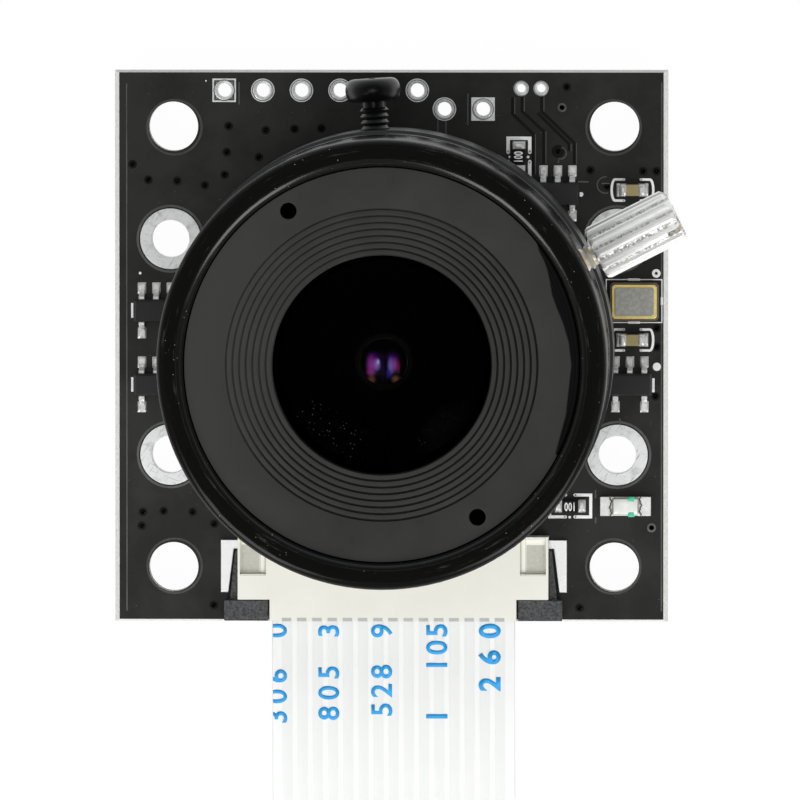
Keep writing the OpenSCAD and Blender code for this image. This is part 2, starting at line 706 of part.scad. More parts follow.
// Thumb screw that locks the focus: threaded shank, neck and a fluted, slotted knob.
module focus_lock_screw() {
  knob_z = barrel_r + thumb_out;
  knob_r = knob_d / 2;
  color([0.8, 0.8, 0.8]) on_axis(thumb_angle, thumb_z) {
    threaded_shank(thumb_r, lock_root, lock_pitch, thumb_tip, knob_z + eps);
    difference() {
      intersection() {
        translate([0, 0, knob_z]) linear_extrude(knob_len) polygon([
          for (i = [0:flute_count - 1], k = [[-0.5, 1], [-0.32, 0.85], [-0.22, 0.2], [-0.1, 0], [0.1, 0],
                                             [0.22, 0.2], [0.32, 0.85]])
            let (a = (i + k[0]) * 360 / flute_count, r = knob_r - k[1] * flute_depth)
            [r * cos(a), r * sin(a)]
        ]);
        rotate_extrude($fn = 64) polygon([
          [0, knob_z], [knob_r - 0.3, knob_z], [knob_r - 0.1, knob_z + 0.08], [knob_r, knob_z + 0.3],
          [knob_r, knob_z + knob_len - 0.35], [knob_r - 0.35, knob_z + knob_len], [0, knob_z + knob_len]
        ]);
      }
      rotate([0, 0, knob_slot_turn]) block([-knob_d, knob_d], [-knob_slot_w / 2, knob_slot_w / 2],
        [knob_z + knob_len - knob_slot_depth, knob_z + knob_len + 1]);
    }
  }
}

// ---- connector
module housing_body() {
  block([-conn_w / 2, conn_w / 2], [conn_front_y, conn_back_y], [top_z, top_z + conn_h]);
  block([-lip_w / 2, lip_w / 2], [lip_y, conn_front_y + eps], [top_z + conn_roof, top_z + conn_h]);
}

module connector_housing() {
  color([0.93, 0.92, 0.87]) difference() {
    housing_body();
    block([-slot_half, slot_half], [lip_y - 1, slot_back_y], [top_z + conn_floor, top_z + conn_roof]);
    for (i = [0:contact_count - 1]) block(contact_x(i) + [-0.32, 0.32] * contact_pitch,
      [lip_y - eps, lip_y + mouth_notch], [top_z + conn_roof - eps, top_z + conn_h + eps]);
    for (i = [0:contact_count - 1]) block(
      contact_x(i) + [-contact_w / 2 - 0.03, contact_w / 2 + 0.03],
      [slot_back_y - eps, conn_back_y + eps],
      [top_z - eps, top_z + conn_floor + contact_t + 0.03]);
    both_sides() {
      block([pocket_in, pocket_out], [pocket_front_y, pocket_back_y],
            [top_z + conn_h - pocket_depth, top_z + conn_h + eps]);
      block([conn_w / 2 - 0.3, conn_w / 2 + eps], [tab_back_y - 0.6 - slide_gap, tab_back_y + slide_gap],
            [top_z - eps, top_z + tab_t + slide_gap]);
    }
  }
}

function contact_x(i) = let (x = (i - (contact_count - 1) / 2) * contact_pitch) [x, x];

// Latch: a wedge bar under the lip, an ear at each end and a tapered arm beside the housing.
module connector_latch() {
  arm_in = conn_w / 2 + 0.05;
  color([0.15, 0.15, 0.15]) {
    block([-slot_half + slide_gap, slot_half - slide_gap], [ear_front_y + 0.4, slot_back_y - 0.8],
          [top_z + latch_low, top_z + latch_high]);
    both_sides() {
      block([ear_in, ear_out], [ear_front_y, ear_back_y], [top_z + 0.25, top_z + conn_h - 0.35]);
      translate([0, 0, top_z + 0.5]) linear_extrude(1.2) polygon([
        [arm_in, ear_back_y - 0.3], [arm_in + arm_taper, ear_back_y - 0.3], [arm_in + arm_taper, ear_back_y],
        [arm_in + 0.15, tab_back_y - 0.7], [arm_in, tab_back_y - 0.7]
      ]);
    }
  }
}

// Solder tabs: a flat plate at each end, hooked into the housing.
module connector_tabs() {
  inner = conn_w / 2 + 0.05 + slide_gap;
  color([0.8, 0.8, 0.8]) both_sides() translate([0, 0, top_z]) linear_extrude(tab_t) polygon([
    [conn_w / 2 - 0.25, tab_back_y], [tab_out, tab_back_y], [tab_out, tab_front_y],
    [inner + arm_taper + 0.05, tab_front_y], [inner + 0.2, tab_back_y - 0.6],
    [conn_w / 2 - 0.25, tab_back_y - 0.6]
  ]);
}

module connector_contacts() {
  tail_y = conn_back_y + contact_tail;
  heel_y = slot_back_y;
  color([0.85, 0.7, 0.4]) for (i = [0:contact_count - 1])
    translate([contact_x(i)[0] - contact_w / 2, 0, top_z])
    rotate([90, 0, 90]) linear_extrude(contact_w) polygon([
      [tail_y, 0], [tail_y, contact_t], [heel_y + 0.5, contact_t], [heel_y + 0.3, conn_floor + contact_t],
      [conn_front_y + 0.3, conn_floor + contact_t], [conn_front_y + 0.3, conn_floor],
      [heel_y + 0.1, conn_floor], [heel_y + 0.3, 0]
    ]);
}

// ---- flat cable
module inner_stiffener() {
  color([0.2, 0.5, 0.8])
    block([-cable_w / 2, cable_w / 2], [cable_start_y - inner_stiffener_len, cable_start_y],
    [top_z + stiff_low, top_z + stiff_low + stiffener_t]);
}

// Flat section with cut corners, eight points, in the plane across the route.
function cable_section() = let (w = cable_w / 2, t = cable_t / 2, c = cable_skin)
  [[w, -t + c], [w, t - c], [w - c, t], [-w + c, t], [-w, t - c], [-w, -t + c], [-w + c, -t], [w - c, -t]];

module flat_cable() {
  n = len(route_points);
  section = cable_section();
  sides = len(section);
  points = [for (i = [0:n - 1])
    let (a = route_points[max(i - 1, 0)], b = route_points[min(i + 1, n - 1)],
         d = (b - a) / norm(b - a), up = [0, -d[2], d[1]] * -1)
    for (s = section) route_points[i] + [s[0], 0, 0] + s[1] * up];
  faces = concat(
    [[for (k = [0:sides - 1]) k]],
    [for (i = [0:n - 2], k = [0:sides - 1])
      let (a = i * sides + k, b = i * sides + (k + 1) % sides) [a, a + sides, b + sides, b]],
    [[for (k = [sides - 1:-1:0]) (n - 1) * sides + k]]
  );
  color([0.93, 0.94, 0.95]) polyhedron(points = points, faces = faces);
}

module end_stiffener() {
  z = lay_z + cable_t / 2;
  color([0.2, 0.5, 0.8]) block([-cable_w / 2, cable_w / 2], [cable_end_y, cable_end_y + stiffener_len],
    [z, z + stiffener_t]);
}

// Bare contact strips on the underside of the cable's far end.
module end_contacts() {
  z = lay_z - cable_t / 2;
  color([0.85, 0.85, 0.85]) for (i = [0:contact_count - 1])
    block(contact_x(i) + [-0.35, 0.35] * contact_pitch,
          [cable_end_y, cable_end_y + strip_len], [z - strip_t, z]);
}

// ---- small parts
// Moulded chip body: straight lower half, sloped upper half.
module sot_body() {
  slope = 0.12;
  translate([0, 0, top_z + 0.05]) intersection() {
    translate([0, sot_wid / 2, 0]) rotate([90, 0, 0]) linear_extrude(sot_wid) polygon([
      [-sot_len / 2 + slope, 0], [sot_len / 2 - slope, 0], [sot_len / 2, sot_h * 0.5],
      [sot_len / 2 - slope, sot_h], [-sot_len / 2 + slope, sot_h], [-sot_len / 2, sot_h * 0.5]
    ]);
    translate([-sot_len / 2, 0, 0]) rotate([90, 0, 90]) linear_extrude(sot_len) polygon([
      [-sot_wid / 2 + slope, 0], [sot_wid / 2 - slope, 0], [sot_wid / 2, sot_h * 0.5],
      [sot_wid / 2 - slope, sot_h], [-sot_wid / 2 + slope, sot_h], [-sot_wid / 2, sot_h * 0.5]
    ]);
  }
}

// Gull-wing lead on the +Y side, from the body out and down to its foot.
module gull_lead(x) {
  t = 0.15;
  w = 0.4;
  reach = 0.62;
  start = sot_wid / 2 - 0.02;
  bend_z = sot_h * 0.5;
  translate([x - w / 2, start, top_z]) rotate([90, 0, 90]) linear_extrude(w) polygon([
    [0, bend_z], [0.12, bend_z], [0.27, 0], [reach, 0], [reach, t],
    [0.38, t], [0.23, bend_z + t], [0, bend_z + t]
  ]);
}

// Leads of a small chip: which places on the +Y and the -Y side hold one.
module sot_leads(upper, lower) {
  for (k = upper) gull_lead(k * sot_pitch);
  rotate([0, 0, 180]) for (k = lower) gull_lead(k * sot_pitch);
}

module regulator_bodies() {
  color([0.16, 0.16, 0.16]) for (p = regulators_at) translate(p) sot_body();
}

module regulator_leads() {
  color([0.85, 0.85, 0.83]) for (p = regulators_at) translate(p) sot_leads([-1, 0, 1], [-1, 1]);
}

module logic_chip_body() {
  color([0.16, 0.16, 0.16]) translate(logic_at) sot_body();
}

module logic_chip_leads() {
  color([0.85, 0.85, 0.83]) translate(logic_at) sot_leads([-1, 0, 1], [-1, 0, 1]);
}

module capacitor_bodies() {
  end = 0.35;
  color([0.62, 0.56, 0.40]) for (p = capacitors_at) translate(p)
    block([-chip_len / 2 + end, chip_len / 2 - end], [-chip_wid / 2 + 0.03, chip_wid / 2 - 0.03],
          [top_z + 0.03, top_z + capacitor_h - 0.03]);
}

module capacitor_ends() {
  end = 0.35;
  color([0.8, 0.8, 0.8]) for (p = capacitors_at, s = [-1, 1]) translate(p)
    rotate([0, 0, s < 0 ? 180 : 0])
    block([chip_len / 2 - end, chip_len / 2], [-chip_wid / 2, chip_wid / 2], [top_z, top_z + capacitor_h]);
}

module at_resistors() {
  for (p = resistors_at) translate([p[0], p[1], 0]) rotate([0, 0, p[2]]) children();
}

module resistor_bodies() {
  end = 0.28;
  color([0.1, 0.1, 0.1]) at_resistors()
    block([-chip_len / 2 + end, chip_len / 2 - end], [-chip_wid / 2, chip_wid / 2],
          [top_z + 0.03, top_z + resistor_h + 0.02]);
}

module resistor_ends() {
  end = 0.28;
  color([0.82, 0.82, 0.8]) at_resistors() for (a = [0, 180]) rotate([0, 0, a])
    block([chip_len / 2 - end, chip_len / 2], [-chip_wid / 2, chip_wid / 2], [top_z, top_z + resistor_h]);
}

// Slab with cut corners, centred on an XY place.
module cut_slab(length, width, cut, z0, h) {
  translate([0, 0, z0]) linear_extrude(h) polygon([
    [length / 2 - cut, -width / 2], [length / 2, -width / 2 + cut], [length / 2, width / 2 - cut],
    [length / 2 - cut, width / 2], [-length / 2 + cut, width / 2], [-length / 2, width / 2 - cut],
    [-length / 2, -width / 2 + cut], [-length / 2 + cut, -width / 2]
  ]);
}

osc_base_h = 0.6;
osc_ring_h = 0.12;
osc_lid_h = 0.1;

module oscillator_base() {
  color([0.35, 0.3, 0.27]) translate(oscillator_at) cut_slab(osc_len, osc_wid, 0.18, top_z, osc_base_h);
}

module oscillator_seal_ring() {
  color([0.85, 0.68, 0.3]) translate(oscillator_at) difference() {
    cut_slab(osc_len - 0.25, osc_wid - 0.25, 0.15, top_z + osc_base_h, osc_ring_h);
    cut_slab(osc_len - 1.2, osc_wid - 1.2, 0.1, top_z + osc_base_h - eps, osc_ring_h + 2 * eps);
  }
}

module oscillator_lid() {
  color([0.62, 0.62, 0.6]) translate(oscillator_at)
    cut_slab(osc_len - 0.62, osc_wid - 0.62, 0.12, top_z + osc_base_h + osc_ring_h, osc_lid_h);
}

led_len = 3.35;
led_wid = 1.27;
led_base_h = 0.35;
led_h = 1.0;
led_cap_len = 1.55;
led_end_len = (led_len - led_cap_len) / 2;

module led_base() {
  color([0.9, 0.9, 0.86]) translate(led_at)
    block([-led_len / 2 + led_end_len, led_len / 2 - led_end_len],
          [-led_wid / 2 + 0.02, led_wid / 2 - 0.02],
          [top_z, top_z + led_base_h]);
}

module led_lens() {
  slope = 0.12;
  color([0.85, 0.9, 0.85, 0.8]) translate([led_at[0], led_at[1] + led_wid / 2 - 0.04, top_z + led_base_h])
    rotate([90, 0, 0]) linear_extrude(led_wid - 0.08) polygon([
      [-led_cap_len / 2, 0], [led_cap_len / 2, 0], [led_cap_len / 2 - slope, led_h - led_base_h],
      [-led_cap_len / 2 + slope, led_h - led_base_h]
    ]);
}

module led_ends() {
  color([0.8, 0.82, 0.8]) translate(led_at) for (a = [0, 180]) rotate([0, 0, a])
    block([led_len / 2 - led_end_len, led_len / 2], [-led_wid / 2, led_wid / 2], [top_z, top_z + led_base_h + 0.05]);
}

circuit_board();
mounting_lands();
header_pads();
image_sensor();
sensor_glass();
infrared_filter();
lens_mount();
mount_screws();
mount_lock_screw();
rear_barrel();
focus_barrel();
face_ring();
lens_cell();
front_element();
second_element();
aperture_stop();
front_spacer();
middle_element();
rear_spacer();
rear_element();
rear_retainer();
focus_lock_screw();
connector_housing();
connector_latch();
connector_tabs();
connector_contacts();
inner_stiffener();
flat_cable();
end_stiffener();
end_contacts();
regulator_bodies();
regulator_leads();
logic_chip_body();
logic_chip_leads();
capacitor_bodies();
capacitor_ends();
resistor_bodies();
resistor_ends();
oscillator_base();
oscillator_seal_ring();
oscillator_lid();
led_base();
led_lens();
led_ends();
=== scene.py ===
import json
import logging
import math
from dataclasses import dataclass
from enum import Enum
from functools import cached_property
from typing import Any, Callable, Iterable, Sequence

import bmesh
import bpy
import numpy as np
from mathutils import Matrix, Vector


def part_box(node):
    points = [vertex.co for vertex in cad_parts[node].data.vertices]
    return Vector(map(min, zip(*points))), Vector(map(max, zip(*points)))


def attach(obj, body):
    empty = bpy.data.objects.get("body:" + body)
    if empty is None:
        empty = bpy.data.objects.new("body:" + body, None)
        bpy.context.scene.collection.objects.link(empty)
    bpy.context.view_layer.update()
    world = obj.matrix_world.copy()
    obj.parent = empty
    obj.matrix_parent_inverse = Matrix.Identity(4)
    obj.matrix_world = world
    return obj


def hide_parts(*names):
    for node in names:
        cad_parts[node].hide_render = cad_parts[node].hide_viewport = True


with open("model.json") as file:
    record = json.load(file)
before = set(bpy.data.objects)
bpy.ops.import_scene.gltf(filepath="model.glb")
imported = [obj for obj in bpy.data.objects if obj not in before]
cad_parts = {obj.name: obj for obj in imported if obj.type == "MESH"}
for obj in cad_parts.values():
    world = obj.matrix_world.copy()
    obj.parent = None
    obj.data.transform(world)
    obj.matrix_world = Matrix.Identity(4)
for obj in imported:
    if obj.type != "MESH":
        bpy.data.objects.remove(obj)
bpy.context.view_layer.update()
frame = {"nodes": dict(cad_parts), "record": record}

MM = 0.001
TOP = 1.6  # height of the board's upper side
CRISP = 30.0  # edges sharper than this, in degrees, are rounded over on the solids' copies
WHITE = (1.0, 1.0, 1.0)
LOG = logging.getLogger("board_camera")
BODY_OF = {node: body for body, nodes in frame["record"]["behaviour"]["bodies"].items() for node in nodes}
Colour = tuple[float, float, float]
Spot = tuple[float, float]
Piece = bpy.types.Object


# ---------------------------------------------------------------- surfaces from grids

def unit(rows: np.ndarray) -> np.ndarray:
    """Scales each row to a length of one."""
    return rows / np.maximum(np.linalg.norm(rows, axis=1, keepdims=True), 1e-9)


def square(rows: np.ndarray) -> np.ndarray:
    """Turns each row a quarter to the left."""
    return np.stack([-rows[:, 1], rows[:, 0]], axis=1)


def mitred(path: np.ndarray, width: float, closed: bool) -> tuple[np.ndarray, np.ndarray]:
    """Edges of a stroke with mitred corners.

    Each point moves sideways by half the width over the cosine of half the corner's turn.

    Args:
        path: Points of the middle line, N by 2.
        width: Width of the stroke.
        closed: Whether the last point joins the first.

    Returns:
        The left edge and the right edge, N by 2 each.
    """
    ahead = np.roll(path, -1, axis=0) - path
    if not closed:
        ahead[-1] = ahead[-2]
    ahead = unit(ahead)
    behind = np.roll(ahead, 1, axis=0)
    if not closed:
        behind[0] = ahead[0]
    middle = unit(square(ahead) + square(behind))
    reach = width / 2 / np.maximum((middle * square(ahead)).sum(axis=1, keepdims=True), 0.4)
    return path + middle * reach, path - middle * reach


def outline(text: str, size: float, bold: float) -> tuple[np.ndarray, np.ndarray, np.ndarray]:
    """One filled figure, centred, as a plain sans-serif draws it.

    Args:
        text: The figure.
        size: Height of its line.
        bold: How far its outline is grown.

    Returns:
        Its points, its faces' corners, and where each face starts among the corners.
    """
    curve = bpy.data.curves.new("figure", "FONT")
    curve.body, curve.size, curve.align_x, curve.align_y = text, size, "CENTER", "CENTER"
    curve.resolution_u, curve.offset = 4, bold
    holder = bpy.data.objects.new("figure", curve)
    bpy.context.scene.collection.objects.link(holder)
    bpy.context.view_layer.update()
    mesh = bpy.data.meshes.new_from_object(holder)
    bpy.data.objects.remove(holder)
    flat = np.empty(len(mesh.vertices) * 3)
    corners = np.empty(len(mesh.loops), np.int32)
    starts = np.empty(len(mesh.polygons), np.int32)
    mesh.vertices.foreach_get("co", flat)
    mesh.loops.foreach_get("vertex_index", corners)
    mesh.polygons.foreach_get("loop_start", starts)
    bpy.data.meshes.remove(mesh)
    return flat.reshape(-1, 3), corners, starts


def clean(mesh: bpy.types.Mesh, merge: float, flatten: float = 0.0) -> None:
    """Merges doubles, drops empty faces and turns the faces outwards.

    Args:
        mesh: The mesh to clean.
        merge: Merging distance in metres.
        flatten: Faces that meet at less than this angle, in degrees, become one; 0 keeps them.
    """
    work = bmesh.new()
    work.from_mesh(mesh)
    bmesh.ops.remove_doubles(work, verts=work.verts, dist=merge)
    bmesh.ops.dissolve_degenerate(work, edges=work.edges, dist=merge)
    if flatten:
        bmesh.ops.dissolve_limit(work, angle_limit=math.radians(flatten), verts=work.verts, edges=work.edges)
    bmesh.ops.recalc_face_normals(work, faces=work.faces)
    work.to_mesh(mesh)
    work.free()
    mesh.update()


def placed(name: str, mesh: bpy.types.Mesh, smooth_angle: float) -> Piece:
    """Links a mesh as an object at the origin, smooth but for edges sharper than the angle."""
    mesh.polygons.foreach_set("use_smooth", [True] * len(mesh.polygons))
    mesh.set_sharp_from_angle(angle=math.radians(smooth_angle))
    made = bpy.data.objects.new(name, mesh)
    bpy.context.scene.collection.objects.link(made)
    return made


def eased(node: str, name: str, width: float) -> Piece:
    """Copies a solid and rounds its edges, to stand for it.

    Args:
        node: Name of the solid.
        name: Name of the new piece.
        width: Width of the rounding.

    Returns:
        The new piece, which replaces the solid and rides on its body.
    """
    mesh = frame["nodes"][node].data.copy()
    mesh.materials.clear()
    if mesh.has_custom_normals:
        mesh.normals_split_custom_set([(0.0, 0.0, 0.0)] * len(mesh.loops))
    clean(mesh, 2e-7, 0.6)
    made = placed(name, mesh, CRISP)
    edge = made.modifiers.new("eased edges", "BEVEL")
    edge.width, edge.segments = width * MM, 2
    edge.limit_method, edge.angle_limit = "ANGLE", math.radians(CRISP)
    edge.harden_normals = True
    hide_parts(node)
    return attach(made, BODY_OF[node])


def span(node: str) -> tuple[np.ndarray, np.ndarray]:
    """Lowest and highest corner of a solid."""
    low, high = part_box(node)
    return np.array(low) / MM, np.array(high) / MM


class Bag:
    """Gathers points and faces, and makes one piece of them."""

    def __init__(self, name: str) -> None:
        """Starts an empty bag for the piece of that name."""
        self.name = name
        self.points = np.empty((0, 3))
        self.corners = self.starts = np.empty(0, np.int32)

    def add(self, points: np.ndarray, corners: np.ndarray, starts: np.ndarray) -> None:
        """Adds points and faces.

        Args:
            points: N by 3.
            corners: The faces' corners, as numbers of points.
            starts: Where each face starts among the corners.
        """
        self.starts = np.append(self.starts, starts + len(self.corners))
        self.corners = np.append(self.corners, corners + len(self.points))
        self.points = np.vstack([self.points, points])

    def grid(self, points: np.ndarray, loop_rows: bool = False, loop_columns: bool = False) -> None:
        """Adds the quads of one grid.

        Args:
            points: Rows by columns by 3.
            loop_rows: Joins the last row to the first.
            loop_columns: Joins the last column to the first.
        """
        index = np.arange(points.size // 3).reshape(points.shape[:2])
        if loop_rows:
            index = np.vstack([index, index[:1]])
        if loop_columns:
            index = np.hstack([index, index[:, :1]])
        quads = np.stack([index[:-1, :-1], index[1:, :-1], index[1:, 1:], index[:-1, 1:]], axis=-1).ravel()
        self.add(points.reshape(-1, 3), quads, np.arange(0, len(quads), 4))

    def loft(self, sections: np.ndarray) -> None:
        """Adds a solid through closed sections, S by N by 3, its ends closed onto their middles."""
        middles = np.repeat(sections.mean(axis=1, keepdims=True), sections.shape[1], axis=1)
        self.grid(np.concatenate([middles[:1], sections, middles[-1:]]), loop_columns=True)

    def turned(self, profile: Sequence[Spot], turns: int, x: float = 0.0, y: float = 0.0,
               closed: bool = False) -> None:
        """Adds a profile turned round an upright axis.

        Its point (r, z) goes to (x + r cos a, y + r sin a, z) for each angle a of the turn.

        Args:
            profile: Radius and height of each point, in order round the section.
            turns: How many angles the full turn is cut into.
            x: X of the axis.
            y: Y of the axis.
            closed: Whether the profile closes on itself, as in a ring.
        """
        line = np.asarray(profile, float)
        angle = np.linspace(0, 2 * np.pi, turns, endpoint=False)
        ring = [x + line[:, :1] * np.cos(angle), y + line[:, :1] * np.sin(angle), line[:, 1:] + 0 * angle]
        self.grid(np.stack(ring, axis=-1), closed, True)

    def stroke(self, path: Iterable[Spot], width: float, rise: float, base: float = 0.0,
               closed: bool = False) -> None:
        """Adds a flat raised line on the board, such as a printed mark or a track.

        Each section is the rectangle between the mitred edges, with its upper corners drawn in
        by a fifth of the width so that the edge is soft.

        Args:
            path: Points of the middle line in plan.
            width: Width of the line.
            rise: Height of its top above the board.
            base: Height of its underside above the board.
            closed: Whether the line closes on itself.
        """
        left, right = mitred(np.asarray(list(path), float), width, closed)
        low, high = TOP + base, TOP + rise
        shoulder = low * 0.3 + high * 0.7
        section = ((0.0, low), (0.0, shoulder), (0.2, high), (0.8, high), (1.0, shoulder), (1.0, low))
        rows = [np.insert(left * (1 - share) + right * share, 2, z, axis=1) for share, z in section]
        if closed:
            self.grid(np.stack(rows, axis=1), True, True)
        else:
            self.loft(np.stack(rows, axis=1))

    def rectangle(self, x: float, y: float, half: Spot, width: float, rise: float) -> None:
        """Adds a raised line round the rectangle of the half sizes about (x, y)."""
        corners = [(x + i * half[0], y + j * half[1]) for i, j in ((-1, -1), (1, -1), (1, 1), (-1, 1))]
        self.stroke(corners, width, rise, closed=True)

    def dot(self, x: float, y: float, radius: float, rise: float, hole: float = 0.0) -> None:
        """Adds a round dot on the board, or a ring where hole is its inner radius."""
        high, shoulder = TOP + rise, TOP + rise * 0.7
        profile = [(hole, TOP), (radius, TOP), (radius, shoulder), (radius * 0.93, high), (hole, high)]
        self.turned(profile, 32, x, y, hole > 0)

    def pillow(self, x: float, y: float, half: Spot, rise: float, swell: float, base: float = 0.0) -> None:
        """Adds a rounded cushion on the board, such as solder, over a rectangle.

        Height is the rise times (1 - u^4)(1 - v^4) to a power, where u and v go from -1 to 1
        across the rectangle.

        Args:
            x: Middle of the rectangle.
            y: Middle of the rectangle.
            half: Its half sizes.
            rise: Height of the crown above its flat underside.
            swell: The power; a small one gives a square edge.
            base: Height of the underside above the board.
        """
        u, v = np.meshgrid(np.linspace(-1, 1, 13), np.linspace(-1, 1, 13), indexing="ij")
        height = rise * ((1 - u ** 4) * (1 - v ** 4)) ** swell
        for lift in (height, 0 * height):
            self.grid(np.stack([x + u * half[0], y + v * half[1], TOP + base + lift], axis=-1))

    def mesh(self) -> bpy.types.Mesh:
        """Puts the points and faces into a new mesh, in metres.

        Returns:
            The mesh.
        """
        mesh = bpy.data.meshes.new(self.name)
        mesh.vertices.add(len(self.points))
        mesh.vertices.foreach_set("co", (self.points * MM).ravel())
        mesh.loops.add(len(self.corners))
        mesh.loops.foreach_set("vertex_index", self.corners.astype(np.int32))
        mesh.polygons.add(len(self.starts))
        mesh.polygons.foreach_set("loop_start", self.starts.astype(np.int32))
        mesh.update(calc_edges=True)
        return mesh

    def build(self, smooth_angle: float = 35.0) -> Piece:
        """Makes the piece, its doubles merged and its faces turned outwards, crisp past the angle."""
        mesh = self.mesh()
        clean(mesh, 1e-7)
        return placed(self.name, mesh, smooth_angle)

    def inked(self, thickness: float, edge: float | None = None) -> Piece:
        """Makes the piece of flat figures, and gives its layer of ink a thickness.

        Args:
            thickness: Thickness of the ink.
            edge: X of the film's edge, where the figures that reach past it are cut off.

        Returns:
            The print.
        """
        mesh = self.mesh()
        if edge is not None:
            work = bmesh.new()
            work.from_mesh(mesh)
            every = [*work.verts, *work.edges, *work.faces]
            bmesh.ops.bisect_plane(work, geom=every, plane_co=(edge * MM, 0, 0), plane_no=(-1, 0, 0),
                                   clear_outer=True)
            work.to_mesh(mesh)
            work.free()
        piece = placed(self.name, mesh, 180.0)
        body = piece.modifiers.new("ink", "SOLIDIFY")
        body.thickness, body.offset = thickness * MM, 0.0
        return piece


# ---------------------------------------------------------------- finishes

def operator(kind: str, swapped: bool = False) -> Callable[..., "Value"]:
    """Makes an operator on values.

    Args:
        kind: Operation of the Math node that it adds.
        swapped: Whether the other number comes first, as in 1 - mask.

    Returns:
        The operator.
    """
    def join(self: "Value", other: Any = 0.0) -> "Value":
        """Adds one Math node on the two values."""
        pair = (other, self) if swapped else (self, other)
        return self.recipe.node("Math", dict(enumerate(pair)), operation=kind)
    return join


class Value:
    """One number that varies over a surface: an output socket, with arithmetic on it."""

    def __init__(self, recipe: "Recipe", socket: bpy.types.NodeSocket) -> None:
        """Wraps the socket of a recipe's node."""
        self.recipe = recipe
        self.socket = socket

    __add__ = __radd__ = operator("ADD")
    __sub__ = operator("SUBTRACT")
    __rsub__ = operator("SUBTRACT", swapped=True)
    __mul__ = __rmul__ = operator("MULTIPLY")
    __truediv__ = operator("DIVIDE")
    __pow__ = operator("POWER")
    __gt__ = operator("GREATER_THAN")
    __abs__ = operator("ABSOLUTE")
    most = operator("MAXIMUM")
    wave = operator("SINE")

    def ramp(self, low: float, high: float) -> "Value":
        """0 below low, 1 above high and a smooth step between."""
        limits = {0: self, 1: low, 2: high, 3: 0.0, 4: 1.0}
        return self.recipe.node("MapRange", limits, interpolation_type="SMOOTHSTEP")


def far(x: Value, y: Value) -> Value:
    """Distance from the middle: the root of x squared plus y squared."""
    return (x * x + y * y) ** 0.5


def within(value: Value, low: float, high: float) -> Value:
    """1 from low to high and 0 outside, with soft ends."""
    return (value - low).ramp(0.0, 0.04) * (high - value).ramp(0.0, 0.04)


def shade(colour: Colour, share: float) -> Colour:
    """The colour times a share, no brighter than white."""
    return tuple(min(1.0, c * share) for c in colour)


